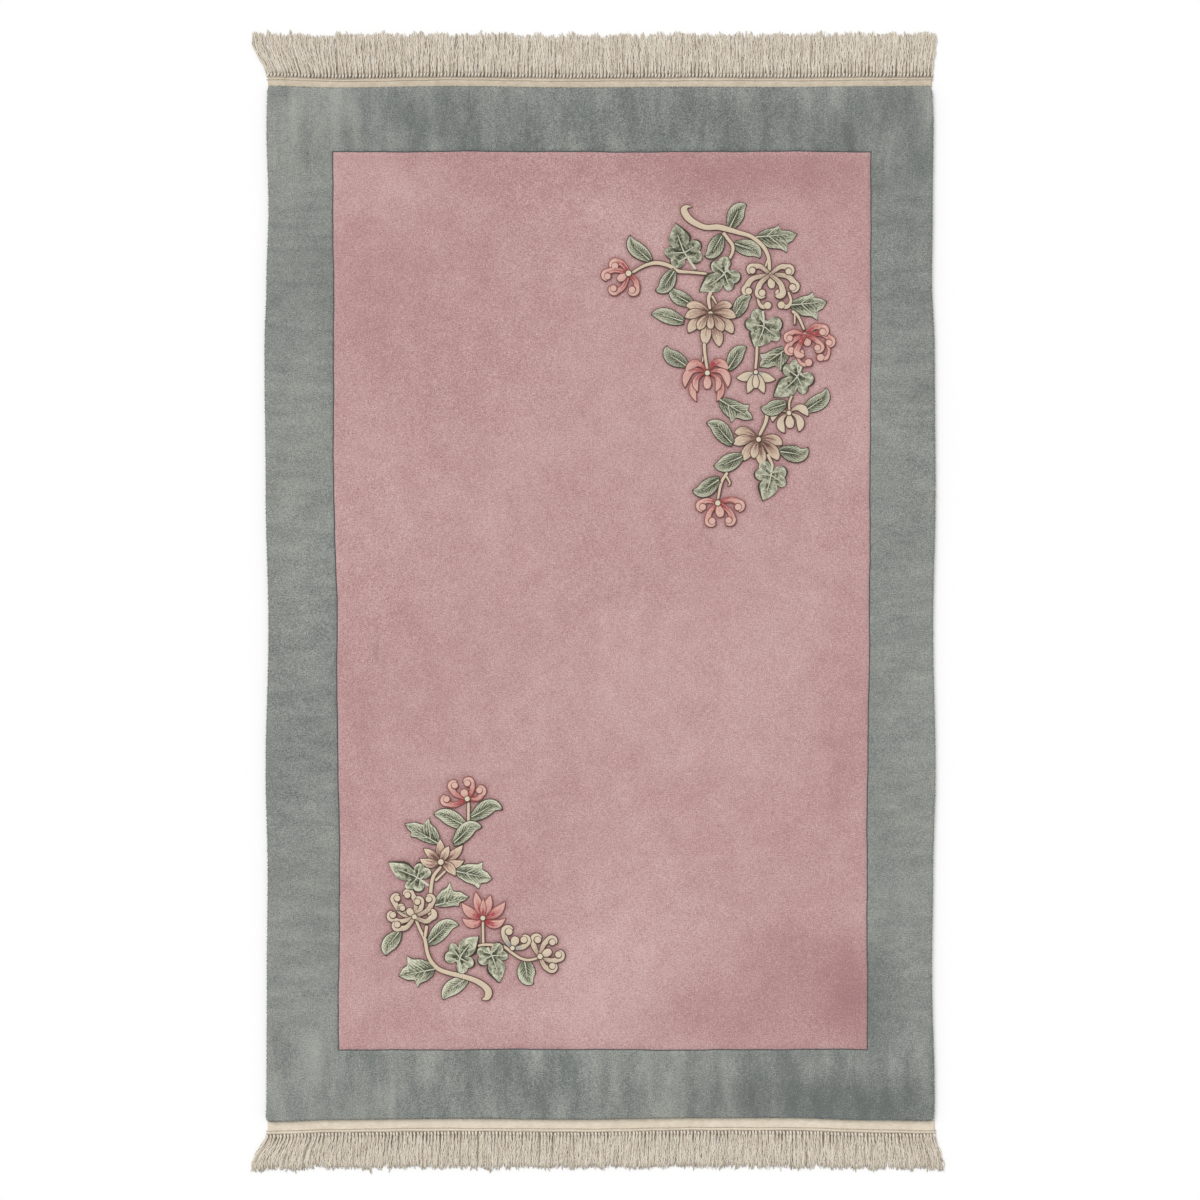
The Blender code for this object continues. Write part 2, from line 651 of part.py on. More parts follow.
def lock_section():
    """A flat-based three-sided section, in the plane that the lock's curve carries along."""
    curve = bpy.data.curves.new("lock_section", "CURVE")
    curve.dimensions = "2D"
    curve.fill_mode = "NONE"
    spline = curve.splines.new("POLY")
    corners = ((-LOCK_WIDTH / 2, 0.0), (LOCK_WIDTH / 2, 0.0), (0.0, LOCK_HEIGHT))
    spline.points.add(len(corners) - 1)
    for point, (x, y) in zip(spline.points, corners):
        point.co = (x, y, 0, 1)
    spline.use_cyclic_u = True
    return bpy.data.objects.new("lock_section", curve)


def make_locks(finish, section):
    """All locks of one fringe as splines of one curve, leaning out towards the corners."""
    name, sign, depth, left, right, reach, seed = finish
    draw = random.Random(seed)
    curve = bpy.data.curves.new(f"locks_{name}", "CURVE")
    curve.dimensions = "3D"
    curve.twist_mode = "Z_UP"
    curve.bevel_mode = "OBJECT"
    curve.bevel_object = section
    curve.use_fill_caps = True
    first = -left * CM + LOCK_WIDTH * LOCK_EDGE_INSET
    last = right * CM - LOCK_WIDTH * LOCK_EDGE_INSET
    steps = int((last - first) / LOCK_PITCH)
    for x in spaced(first, last, steps):
        root = end_line(sign, x) + sign * (depth * CM + HEADING_DEPTH - LOCK_ROOT_INSIDE)
        lean = read_table(FRINGE_LEAN[name], 1, x / CM) * CM
        long = (reach - depth) * CM - HEADING_DEPTH + LOCK_ROOT_INSIDE
        long += draw.uniform(-LOCK_RAGGED, LOCK_RAGGED)
        spline = curve.splines.new("POLY")
        spline.points.add(len(LOCK_TAPER) - 1)
        for point, (share, radius) in zip(spline.points, LOCK_TAPER):
            sway = draw.uniform(-LOCK_SWAY, LOCK_SWAY) * share
            lift = LOCK_ROOT_LIFT if share == 0 else 0
            point.co = (x + lean * share**LEAN_CURVE + sway, root + sign * long * share, lift, 1)
            point.radius = radius
    return made_mesh(bpy.data.objects.new(f"locks_{name}", curve), f"locks_{name}")


def make_fringe(parts, cutters, materials, finish, section):
    """A knotted heading with its locks fused to it."""
    name, sign, depth, left, right, _, _ = finish
    near = depth * CM + GAP
    outline = band_outline(sign, left, right, near, near + HEADING_DEPTH)
    fringe = flat_solid(f"fringe_{name}", outline, 0.0, HEADING_THICKNESS)
    fringe.data.materials.append(materials["cream_cotton"])
    parts.objects.link(fringe)
    locks = make_locks(finish, section)
    hide_guide(locks, cutters)
    add_boolean(fringe, "UNION", operand=locks)


def main():
    clear_scene()
    parts = make_collection("hand_knotted_rug")
    cutters = make_collection("cutters")
    joined = make_collection("joined_to_rug_body")
    materials = {name: make_material(name, colour) for name, colour in WOOLS_AND_COTTON}
    make_rug_body(parts, cutters, joined, materials)
    section = lock_section()
    hide_guide(section, cutters)
    for finish in END_FINISHES:
        make_fringe(parts, cutters, materials, finish, section)


main()
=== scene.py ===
"""Looks of a hand-knotted wool rug: velvety cut pile, two carved flower sprays, flat-woven cotton ends
and knotted fringes, lying flat on a pale floor and seen from straight above.

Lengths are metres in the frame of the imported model. The tables of the design are in centimetres from
the rug's middle, +x to the right and +y towards the top fringe, as in the part's own source.
"""

import math

import bpy
import numpy as np
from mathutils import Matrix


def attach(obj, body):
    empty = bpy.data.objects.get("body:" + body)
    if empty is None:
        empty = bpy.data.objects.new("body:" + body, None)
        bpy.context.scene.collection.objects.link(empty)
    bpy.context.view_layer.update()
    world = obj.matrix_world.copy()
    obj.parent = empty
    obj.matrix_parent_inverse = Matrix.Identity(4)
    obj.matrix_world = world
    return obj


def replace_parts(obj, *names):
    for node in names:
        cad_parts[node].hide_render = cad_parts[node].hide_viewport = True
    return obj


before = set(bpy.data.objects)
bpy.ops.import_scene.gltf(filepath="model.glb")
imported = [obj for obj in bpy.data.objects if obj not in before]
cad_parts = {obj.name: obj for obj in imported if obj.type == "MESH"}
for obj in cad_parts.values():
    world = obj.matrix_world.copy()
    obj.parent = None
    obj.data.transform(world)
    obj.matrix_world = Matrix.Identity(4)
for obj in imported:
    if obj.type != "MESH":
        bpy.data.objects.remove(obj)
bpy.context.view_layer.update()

CM = 0.01
MM = 0.001

# The photograph: its width in metres on the rug, and its middle on the rug
FRAME_WIDTH = 3.0
FRAME_MIDDLE = (-0.00125, 0.00875)
CAMERA_LENS = 85.0
CAMERA_SENSOR = 36.0

PILE_TOP = 14 * MM
PILE_ROUNDING = 5 * MM
CORNER_RADIUS = 9 * MM
FOUNDATION_INSET = 2 * MM
CARVED_LINE_DEPTH = 2.6 * MM
CARVED_LINE_HALF = 1.4 * MM
CARVED_LINE_SLOPE = 4 * MM
# The hollow shorn round the motifs
HALO_DEPTH = 1.3 * MM
HALO_BLUR = 6 * MM
HALO_CELL = 4 * MM
HALO_GAIN = 2.1
WEB_TOP = 3 * MM

SIDES = np.array((
    # y, left, right
    (-129.2, -83.7, 83.4),
    (-124.0, -83.5, 83.5),
    (-92.0, -83.4, 82.8),
    (-68.0, -83.2, 83.1),
    (-41.5, -83.7, 83.7),
    (-6.5, -83.0, 83.1),
    (28.5, -83.7, 83.7),
    (63.5, -84.0, 83.5),
    (81.0, -83.5, 82.8),
    (98.5, -83.0, 83.0),
    (120.0, -83.5, 83.2),
    (129.2, -83.3, 82.9),
))
ENDS = np.array((
    # x, top, bottom
    (-83.6, 129.45, -129.6),
    (-66.5, 129.0, -129.1),
    (-36.5, 129.38, -128.8),
    (-6.5, 129.05, -129.03),
    (23.5, 129.22, -128.65),
    (45.0, 129.15, -128.6),
    (68.5, 129.35, -129.2),
    (84.1, 129.42, -129.4),
))
FIELD_SIDES = np.array((
    # y, left, right
    (-111.6, -65.5, 66.9),
    (-74.0, -65.3, 66.6),
    (-6.5, -65.9, 67.2),
    (28.5, -66.7, 67.5),
    (113.0, -66.9, 67.7),
))
FIELD_ENDS = (-111.6, 113.0)

# The flat-woven web and the fringe at each end. Its reach is from the pile's edge to the tips
END_FINISHES = {
    # name: sign, web depth, half width left, half width right, reach, places of the twined cords, seed
    "top": (1, 2.5, 83.6, 83.3, 13.1, (-0.75, -0.08), 5),
    "bottom": (-1, 3.4, 83.7, 84.0, 12.2, (-0.85, -0.2), 8),
}
FRINGE_LEAN = {
    # x, how far the tips lean to the right
    "top": np.array((
        (-83.6, -3.4), (-76.0, -2.3), (-64.0, -0.6), (-40.0, 0.1), (20.0, 0.0), (70.0, 0.2), (83.3, 0.6),
    )),
    "bottom": np.array((
        (-83.7, -3.1), (-74.0, -1.9), (-62.0, -0.5), (-30.0, -0.2), (20.0, -0.4), (68.0, 0.2), (84.0, 1.7),
    )),
}

# The sprays. Every stem is the places that it runs through, with its half width there
STEMS = {
    "upper": (
        # x, y, half width
        ((22.9, 99.1, 0.1), (21.6, 99.2, 0.5), (20.9, 98.2, 0.95), (22.1, 96.2, 0.85), (24.4, 94.7, 0.75),
         (26.6, 94.0, 0.7), (29.3, 94.1, 0.75), (31.9, 93.5, 0.7), (34.6, 92.7, 0.6), (37.3, 91.9, 0.55),
         (39.5, 90.4, 0.55), (41.1, 88.6, 0.55), (42.0, 86.4, 0.5), (42.3, 83.0, 0.5)),
        ((41.9, 86.2, 0.3), (41.1, 83.9, 0.3)),
        ((30.6, 92.7, 0.55), (31.9, 91.1, 0.5), (33.0, 89.5, 0.5), (33.0, 87.8, 0.45), (32.1, 85.9, 0.4)),
        ((7.8, 82.6, 0.4), (10.1, 84.0, 0.42), (12.3, 84.9, 0.5), (14.5, 85.1, 0.55), (17.2, 84.4, 0.55),
         (19.4, 83.1, 0.5), (22.6, 82.8, 0.42), (26.8, 82.4, 0.4)),
        ((27.7, 78.0, 0.5), (27.0, 76.2, 0.5), (27.4, 73.4, 0.42)),
        ((27.8, 77.0, 0.4), (29.2, 74.6, 0.25)),
        ((25.9, 65.2, 0.5), (26.1, 62.3, 0.45), (26.7, 58.4, 0.4)),
        ((26.0, 63.2, 0.3), (25.4, 60.2, 0.28)),
        ((39.1, 64.4, 0.42), (39.0, 61.5, 0.42), (38.7, 58.4, 0.4)),
        ((47.8, 73.2, 0.45), (49.4, 71.7, 0.42), (51.0, 68.2, 0.36)),
        ((48.6, 72.6, 0.35), (48.5, 69.6, 0.3)),
        ((39.1, 78.0, 0.35), (39.5, 75.5, 0.42), (40.4, 74.2, 0.55), (41.8, 74.5, 0.8)),
        ((46.9, 78.0, 0.35), (47.6, 75.7, 0.42), (46.7, 74.2, 0.55), (45.2, 74.6, 0.8)),
        ((47.9, 52.0, 0.35), (47.2, 50.3, 0.35), (47.2, 48.2, 0.35)),
        ((41.6, 47.9, 0.55), (41.3, 45.4, 0.5), (39.6, 41.8, 0.42)),
        ((41.7, 37.4, 0.45), (43.1, 34.4, 0.42)),
        ((31.8, 32.9, 0.45), (30.2, 30.2, 0.42), (29.3, 25.8, 0.36)),
        ((31.2, 32.2, 0.35), (32.3, 30.2, 0.32), (31.9, 29.3, 0.15)),
    ),
    "lower": (
        ((-33.0, -49.5, 0.42), (-33.0, -55.4, 0.42)),
        ((-39.7, -65.6, 0.4), (-41.7, -68.1, 0.5), (-42.3, -70.7, 0.5), (-42.5, -73.4, 0.5)),
        ((-38.6, -66.7, 0.35), (-41.4, -69.4, 0.4)),
        ((-46.2, -78.9, 0.4), (-45.0, -81.8, 0.45), (-43.9, -84.0, 0.5), (-43.3, -87.2, 0.52),
         (-42.3, -89.5, 0.55), (-40.4, -91.4, 0.6), (-37.7, -92.4, 0.62), (-34.7, -93.1, 0.65),
         (-31.6, -94.1, 0.7), (-29.3, -95.4, 0.78), (-28.0, -97.0, 0.9), (-28.4, -98.5, 0.75),
         (-29.7, -99.0, 0.1)),
        ((-43.4, -80.4, 0.5), (-43.9, -83.6, 0.42)),
        ((-31.6, -85.9, 0.3), (-29.3, -85.3, 0.4), (-25.9, -85.4, 0.42), (-23.9, -85.9, 0.42),
         (-22.0, -87.4, 0.42), (-19.9, -88.7, 0.42), (-17.8, -89.1, 0.4), (-15.3, -88.5, 0.36)),
        ((-29.4, -79.3, 0.38), (-29.3, -85.3, 0.4)),
    ),
}
ROSE_TENDRILS = {
    "upper": (
        # x, y, half width
        ((49.0, 63.2, 0.3), (49.5, 60.9, 0.4), (50.7, 59.7, 0.5), (52.0, 60.2, 0.8)),
        ((56.2, 65.4, 0.3), (57.1, 63.3, 0.4), (56.5, 61.4, 0.5), (55.0, 61.5, 0.8)),
    ),
    "lower": (),
}
SIMPLE_LEAVES = {
    "upper": (
        # base x, base y, tip x, tip y, width, bend
        (12.4, 85.6, 7.5, 92.0, 3.6, 0.5),
        (18.6, 83.2, 13.7, 78.3, 3.6, 0.5),
        (30.5, 92.0, 26.0, 86.8, 3.7, 0.4),
        (33.4, 90.1, 39.8, 86.3, 3.9, 0.5),
        (32.2, 93.9, 36.5, 99.7, 3.9, 0.4),
        (23.1, 74.5, 17.6, 79.2, 3.4, 0.4),
        (20.9, 70.5, 12.7, 72.2, 3.6, -0.3),
        (33.4, 71.8, 37.8, 76.7, 3.3, 0.4),
        (21.5, 59.3, 16.5, 64.4, 3.6, 0.5),
        (31.8, 58.6, 36.6, 64.0, 3.5, 0.4),
        (33.1, 39.9, 26.5, 45.0, 4.0, -0.5),
        (35.6, 36.8, 28.3, 34.5, 4.0, 0.3),
        (44.7, 37.9, 51.9, 39.0, 3.9, -0.7),
        (29.8, 31.0, 23.0, 28.3, 3.8, 0.5),
        (46.5, 49.9, 40.1, 49.1, 3.6, 0.4),
        (51.0, 47.9, 56.4, 53.9, 3.7, -0.6),
    ),
    "lower": (
        (-33.3, -55.7, -41.7, -52.8, 3.7, -0.4),
        (-32.5, -53.4, -24.5, -51.6, 3.7, 0.8),
        (-36.9, -59.9, -29.6, -56.0, 3.7, 0.7),
        (-50.3, -81.9, -53.5, -88.0, 3.6, -0.4),
        (-43.2, -84.9, -35.4, -80.5, 3.9, 0.7),
        (-33.3, -93.4, -39.2, -99.1, 3.7, -0.4),
        (-19.1, -89.1, -16.8, -95.1, 4.3, -0.4),
    ),
}
CUT_LEAVES = {
    "upper": (
        # base x, base y, tip x, tip y, one tooth x, its y, other tooth x, its y
        (39.1, 91.6, 49.1, 92.4, 44.6, 94.4, 46.6, 88.1),
        (47.6, 74.6, 56.6, 75.4, 53.1, 77.6, 54.2, 71.2),
        (46.9, 63.9, 39.8, 59.1, 39.9, 62.1, 44.9, 58.4),
        (29.9, 50.9, 38.1, 46.0, 37.1, 49.4, 32.9, 45.4),
    ),
    "lower": (
        (-40.6, -60.0, -48.9, -55.1, -43.1, -53.9, -47.4, -58.1),
        (-36.1, -66.9, -27.1, -68.9, -29.5, -64.9, -30.4, -71.1),
        (-41.1, -75.4, -32.9, -73.4, -37.6, -70.1, -35.4, -75.5),
        (-41.6, -91.4, -50.4, -93.1, -48.3, -88.5, -45.8, -95.6),
    ),
}
LOBED_LEAVES = {
    "upper": (
        # middle x, middle y, tip x, tip y, reach of the round lobes, foot x, foot y
        (20.9, 87.9, 18.8, 95.1, 4.5, 23.8, 83.5),
        (30.9, 82.4, 24.6, 78.0, 4.1, 32.0, 85.6),
        (40.8, 69.1, 38.4, 63.9, 4.6, 40.6, 73.1),
        (49.1, 56.6, 43.1, 51.6, 4.2, 50.4, 59.9),
        (42.6, 31.9, 40.5, 25.6, 4.0, 43.0, 34.8),
    ),
    "lower": (
        (-45.9, -68.4, -53.1, -64.6, 3.6, -42.9, -70.6),
        (-35.1, -88.5, -30.4, -83.1, 3.8, -35.2, -92.2),
        (-27.1, -88.1, -25.3, -94.9, 3.7, -28.3, -86.0),
    ),
}
# Flowers: dye, form of the petals, centre x, centre y, radius of the middle knot, then a row for each
# petal, the back ones first: angle in degrees, reach, half width, bow to the left as a share. A row
# without a bow is a drop
FLOWERS = {
    "upper": (
        ("rose", "curl", 7.0, 82.5, 0.72, (
            (151, 3.9, 1.0, -0.42), (188, 5.3, 0.95, -0.3), (225, 5.3, 0.95, 0.32),
            (282, 4.2, 1.0, 0.4), (212, 3.3, 0.85))),
        ("lotus", "petal", 27.5, 72.4, 0.62, (
            (260, 8.0, 1.25, -0.04), (285, 8.6, 1.25, 0.04), (221, 7.3, 1.2, -0.12),
            (318, 7.5, 1.2, 0.12), (163, 6.5, 1.15, -0.14), (20, 5.9, 1.15, 0.14),
            (189, 6.5, 1.1, -0.12), (351, 6.5, 1.1, 0.12), (234, 5.1, 1.1, -0.08),
            (304, 5.4, 1.1, 0.08), (270, 3.9, 0.85))),
        ("cream", "curl", 42.4, 82.1, 0.6, (
            (217, 6.7, 1.0, -0.34), (331, 6.4, 1.0, 0.34), (166, 4.6, 0.95, -0.38),
            (11, 4.7, 0.95, 0.38), (246, 4.9, 1.0, -0.34), (295, 4.9, 1.0, 0.34),
            (278, 3.5, 0.85))),
        ("rose", "curl", 51.2, 67.1, 0.65, (
            (342, 6.2, 0.95, 0.3), (10, 4.4, 1.0, 0.45), (227, 5.2, 0.95, -0.3),
            (192, 4.0, 0.9, -0.4), (313, 4.4, 0.95, 0.3), (256, 4.5, 0.95, -0.22),
            (286, 2.9, 0.85))),
        ("rose", "petal", 26.7, 57.6, 0.65, (
            (250, 7.7, 0.82, -0.3), (288, 7.5, 0.82, 0.3), (214, 6.7, 0.92, -0.4),
            (324, 6.3, 0.92, 0.4), (178, 5.5, 0.95, -0.42), (7, 5.5, 0.95, 0.42),
            (244, 5.3, 0.72, -0.34), (293, 5.2, 0.72, 0.34), (270, 4.1, 0.9))),
        ("dew", "blade", 38.8, 57.8, 0.55, (
            (196, 5.1, 1.05, 0.08), (340, 5.3, 1.05, -0.08), (249, 5.7, 1.0, 0.0),
            (292, 5.8, 1.0, 0.0), (270, 4.1, 0.75))),
        ("cream", "petal", 47.1, 47.6, 0.6, (
            (209, 4.7, 0.9, -0.4), (350, 4.9, 0.95, 0.36), (259, 5.1, 0.92, -0.32),
            (297, 5.3, 0.92, 0.3), (275, 3.9, 0.98))),
        ("lotus", "petal", 39.5, 41.0, 0.62, (
            (165, 6.3, 1.15, -0.16), (191, 6.5, 1.2, -0.1), (346, 6.1, 1.15, 0.16),
            (313, 7.2, 1.25, 0.1), (236, 6.5, 1.2, -0.1), (275, 6.5, 1.2, 0.05),
            (256, 5.0, 1.0, -0.05))),
        ("rose", "curl", 29.3, 25.1, 0.68, (
            (195, 3.9, 0.98, -0.4), (349, 5.2, 1.0, 0.34), (253, 4.7, 0.98, -0.32),
            (302, 5.1, 0.98, 0.32), (283, 3.7, 0.95))),
    ),
    "lower": (
        ("rose", "curl", -33.3, -48.8, 0.65, (
            (181, 5.2, 0.95, 0.34), (133, 4.6, 0.95, 0.36), (35, 3.7, 0.95, -0.48),
            (90, 3.9, 0.95, -0.38), (117, 2.6, 0.85))),
        ("lotus", "blade", -39.9, -64.6, 0.72, (
            (92, 5.8, 1.0, 0.0), (142, 5.5, 1.0, 0.0), (38, 7.0, 1.05, -0.08),
            (171, 5.4, 1.05, 0.14), (4, 5.9, 1.0, -0.14), (316, 5.1, 1.05, 0.1),
            (63, 4.5, 0.95, 0.0))),
        ("cream", "curl", -46.5, -78.3, 0.62, (
            (133, 6.3, 0.95, 0.3), (108, 5.7, 0.95, -0.3), (51, 5.7, 0.95, -0.32),
            (175, 5.4, 0.95, 0.32), (204, 4.7, 0.95, 0.4), (12, 4.2, 0.95, -0.48),
            (144, 3.7, 0.85, 0.36), (79, 3.8, 0.92, -0.36), (131, 2.7, 0.82))),
        ("rose", "blade", -29.4, -78.6, 0.62, (
            (180, 5.2, 1.0, 0.28), (360, 5.7, 1.0, -0.28), (144, 6.5, 1.08, 0.12),
            (36, 6.9, 1.08, -0.12), (105, 6.8, 1.0, 0.04), (72, 6.1, 1.0, -0.04),
            (89, 4.8, 0.7, 0.0))),
        ("dew", "curl", -22.0, -86.1, 0.6, (
            (102, 4.2, 1.05, 0.36), (36, 3.5, 1.0, -0.45), (71, 3.1, 0.95))),
        ("cream", "curl", -15.1, -88.2, 0.68, (
            (98, 4.2, 1.0, 0.32), (49, 4.7, 0.95, 0.32), (6, 4.6, 0.98, -0.36),
            (-38, 3.9, 0.95, -0.38), (28, 3.3, 0.9))),
    ),
}

# The round lobes of a leaf: angle from the tip, how far out and how round, as shares of their reach
LEAF_LOBES = ((78, 0.71, 0.35), (-78, 0.71, 0.35), (128, 0.66, 0.4), (-128, 0.66, 0.4))
LOBED_FOOT = 0.42
LOBED_BOW = 0.22
# The point of a lobed leaf: share of the way to its tip, half width as a share of the lobes' reach
LOBED_POINT = ((0, 0.42), (0.2, 0.42), (0.42, 0.6), (0.55, 0.56), (0.8, 0.28), (1, 0.0))
# One side of a cut leaf: share of the way to its tooth and half width as a share of the tooth's reach,
# then the same for the notch close behind the tooth, and for the rest of the way from there to the tip
TOOTH_FRONT = ((0, 0.15), (0.12, 0.42), (0.45, 0.68), (0.8, 0.76), (1, 1.0))
TOOTH_NOTCH = (0.025, 0.52)
TOOTH_BACK = ((0.2, 0.46), (0.55, 0.38), (1, 0.01))
# How strongly a simple leaf bows for its row's bend, and how far towards the tip that bow leans
LEAF_BOW = 1.6
LEAF_HOOK = 2.5
# Half widths of the veins at their root and end, in mm
MIDRIB = (2.52, 1.08)
TOOTH_VEIN = (2.04, 0.96)
LOBED_MIDRIB = (3.84, 1.56)
LOBE_VEIN = (2.76, 1.32)

# A scroll petal winds round its ball through these turns in degrees, from the first to the second radius
CURL_TURNS = (-8.0, 25.0, 58.0, 91.0, 124.0, 157.0)
CURL_WINDING = (1.22, 0.55)
# Its band: share of the way along, half width as a share of the ball's row
CURL_BAND = ((0, 0.5), (0.3, 0.78), (0.55, 0.94), (1, 0.72))
# The red of an open rose petal runs farther out: its shading reaches only this share of the way
ROSE_BLUSH = 0.74

# How many rings each form has along it, and how much fuller it is carved than its row says
RINGS = {"leaf": 30, "cut leaf": 52, "vein": 18, "petal": 26, "drop": 22, "curl": 36}
RINGS_A_STEM_PLACE = 8
FULLER = {
    "stem": 1.06, "leaf": 1.07, "cut leaf": 1.12, "petal": 1.16, "drop": 1.2, "curl": 0.94, "knot": 1.15,
    "stem ball": 1.25,
}
LOBED_POINTS = 132
BALL_POINTS = 22
# No stem's half width is more than this. Where its row ends with this many cm or more, a ball is there
STEM_MOST = 9.5 * MM
BALL_FROM = 0.8
# The least half width of a stem or petal, and of a leaf or drop at its ends
SLIMMEST = 0.6 * MM
POINT_HALF = 0.2 * MM

# How high each kind of carved piece stands above the pile, in metres
RELIEF = {"leaf": 0.9 * MM, "stem": 1.2 * MM, "petal": 1.5 * MM, "knot": 2.6 * MM}
VEIN_LIFT = 0.45 * MM
BALL_LIFT = 0.2 * MM
DROP_LIFT = 0.5 * MM
RIM_SINK = 2.2 * MM
ROOT_SINK = 5 * MM
LAYERS = 12
LAYER_STEP = 0.2 * MM

# The rounded shoulder along a carved piece's rim: its width, and places across it as shares of that
SHOULDER = 1.6 * MM
SHOULDER_PLACES = (0.0, 0.08, 0.3, 0.65, 1.0)
VEIN_PLACES = (0.0, 0.3, 1.0)
# It takes at most this share of a strip's half width, and of an island's reach
STRIP_SHOULDER = 0.55
ISLAND_SHOULDER = 0.5
# A strip this slim, or less, stands lower
SLIM_STRIP = 4 * MM
SLIM_VEIN = 0.3 * MM
# The rings inside an island's shoulder, as shares of what is left there
ISLAND_RINGS = (0.85, 0.65, 0.42, 0.2, 0.04)
CUT_RINGS = (0.1,)
# The dark cut round each carved piece: how far it stands out, and how far it lies below the piece
CUT_OUT = 1.0 * MM
CUT_BELOW = 0.15 * MM
CUT_PLACES = (0.0, 0.12)
# How warm a brown the cut is round each kind of piece, from 0 to 1
CUT_WARMTH = {"leaf": 0.0, "stem": 0.5, "lotus": 0.4, "cream": 0.5, "dew": 0.5, "knot": 0.6, "rose": 1.0}
# A rim value in mm that is past every finish's dark rim
NO_RIM = 9.0
JOINED_RIM = 4.0
# How far apart the carved parts' streaks are read from one noise pattern
STREAKS_APART = 3.7

# How many times lighter the lower spray's wool is than the upper one's, by kind and for the rest
LIGHTER = {"leaf": 1.2, "rose": 1.03, "lotus": 1.12}
REST_LIGHTER = 1.02

# Soft patches where the dye changed, and painted light and shade where the pile leans another way
PATCHES = np.array((
    # x, y, reach along x, reach along y, lighter or darker
    (0.0, 109.0, 62.0, 7.0, -0.3),
    (28.0, 106.0, 14.0, 7.0, -0.35),
    (52.0, 108.0, 14.0, 6.0, -0.3),
    (-50.0, 104.0, 13.0, 9.0, 0.4),
    (-44.0, 62.0, 26.0, 40.0, -0.28),
    (-20.0, 50.0, 9.0, 22.0, 0.12),
    (10.0, -38.0, 13.0, 7.0, -0.14),
    (-62.0, -20.0, 6.0, 30.0, -0.15),
    (63.0, -98.0, 8.0, 14.0, -0.8),
    (46.0, -90.0, 12.0, 14.0, -0.35),
    (62.0, -30.0, 9.0, 30.0, -0.3),
    (2.0, -84.0, 20.0, 14.0, 0.5),
    (-12.0, -101.0, 26.0, 8.0, 0.35),
    (24.0, -104.0, 14.0, 6.0, -0.3),
    (38.0, 4.0, 22.0, 34.0, 0.15),
    (-20.0, 40.0, 34.0, 26.0, 0.1),
    (0.0, 121.0, 90.0, 7.0, -0.36),
    (-62.0, 123.0, 9.0, 4.0, 0.3),
    (64.0, 120.0, 10.0, 5.0, -0.2),
    (-75.0, 40.0, 7.0, 45.0, 0.16),
    (-75.0, -60.0, 7.0, 40.0, 0.08),
    (76.0, 60.0, 7.0, 50.0, -0.02),
    (0.0, -121.0, 90.0, 8.0, -0.16),
    (-72.0, -117.0, 14.0, 8.0, 0.3),
    (-44.0, -119.0, 10.0, 8.0, 0.25),
    (12.0, -117.0, 16.0, 5.0, 0.2),
    (58.0, -115.0, 8.0, 4.0, 0.3),
    (60.0, -125.0, 28.0, 7.0, -0.75),
    (-20.0, -122.0, 12.0, 8.0, -0.2),
    (-74.0, 116.0, 14.0, 20.0, 0.45),
    (-46.0, 122.0, 5.0, 7.0, -0.3),
))

# The straight lines that the pile's grid starts from: rug's edge, field, field, rug's edge. The grid is
# then carried onto the uneven ones. Its steps are finest where motifs hollow the pile
GRID_X = (-0.835, -0.662, 0.672, 0.832)
GRID_Y = (-1.291, FIELD_ENDS[0] * CM, FIELD_ENDS[1] * CM, 1.292)
GRID_GAP = 12 * MM
BORDER_STEP = 16 * MM
FIELD_STEP = 18 * MM
MOTIF_STEP = 0.0055
MOTIF_SPANS_X = ((-0.56, -0.12), (0.045, 0.595))
MOTIF_SPANS_Y = ((-1.015, -0.455), (0.225, 1.02))
ROUNDING_LINES = 5
# The rim's unevenness: how deep it reaches in, and its size
FUZZ_REACH = 20 * MM
FUZZ = 0.3 * MM
LUMPS = 0.14 * MM
LUMP_SEED = 12
# The wall below the pile's rim: share of the foundation's inset, height
WALL_RINGS = ((0.15, 6 * MM), (0.0, 3 * MM), (1.0, 1.2 * MM), (1.1, 0.0))
# From here to the ends the border's wool leans along the rug, over this length
LEAN_FROM = 1.0
LEAN_OVER = 0.12

TUFT_ROWS = (
    # height, how far inside the rim
    (5.5 * MM, 0.4 * MM),
    (9.5 * MM, 0.4 * MM),
    (12.8 * MM, 1.6 * MM),
)
TUFT_SPACING = 5.6 * MM
TUFT_LENGTH = (1.6 * MM, 3.4 * MM)
TUFT_PLACES = np.array((-0.4, 0.35, 1.0))
TUFT_RADII = np.array((1.15, 1.0, 0.3)) * MM
TUFT_SEED = 1931

WEB_RINGS = 420
WEB_ACROSS = 12
WEB_RIBS = 9
WEB_END_INSET = 0.35
CORD_RADIUS = 1.15 * MM
CORD_HEIGHT = 3 * MM
CORD_RINGS = 700
KNOTS = 196
KNOT_LENGTH = 9 * MM
KNOT_SLANT = 1.2 * MM
KNOT_GIRTH = (2.7, 3.2)
KNOT_FORM = np.array((
    # share along, share of the slant, height in mm, share of the girth
    (-0.5, -1.0, 2.6, 0.5),
    (-0.32, -0.6, 4.2, 0.9),
    (0.0, 0.0, 4.6, 1.0),
    (0.3, 0.6, 4.2, 0.9),
    (0.5, 1.0, 2.8, 0.55),
))
YARN_LAYERS = (
    # how many, root spread in mm, height at the root, height at the tip, half thickness, tone, lower for
    # the deeper layers as painted shade
    (560, 0.0, 1.8, 1.8, 1.7, 0.14),
    (560, 1.6, 3.4, 2.9, 1.4, 0.47),
    (600, 1.3, 4.6, 3.6, 1.25, 0.67),
)
YARN_RINGS = 12
# Share of the way along a yarn, and its thickness or how much lighter a deep yarn gets as its painted shade
# near the knots eases
YARN_TAPER = ((0, 0.7), (0.08, 1), (0.9, 1), (1, 0.6))
DEEP_YARN_PAINTED_SHADE = ((0, -0.04), (0.12, 0.0), (0.4, 0.2), (1, 0.22))

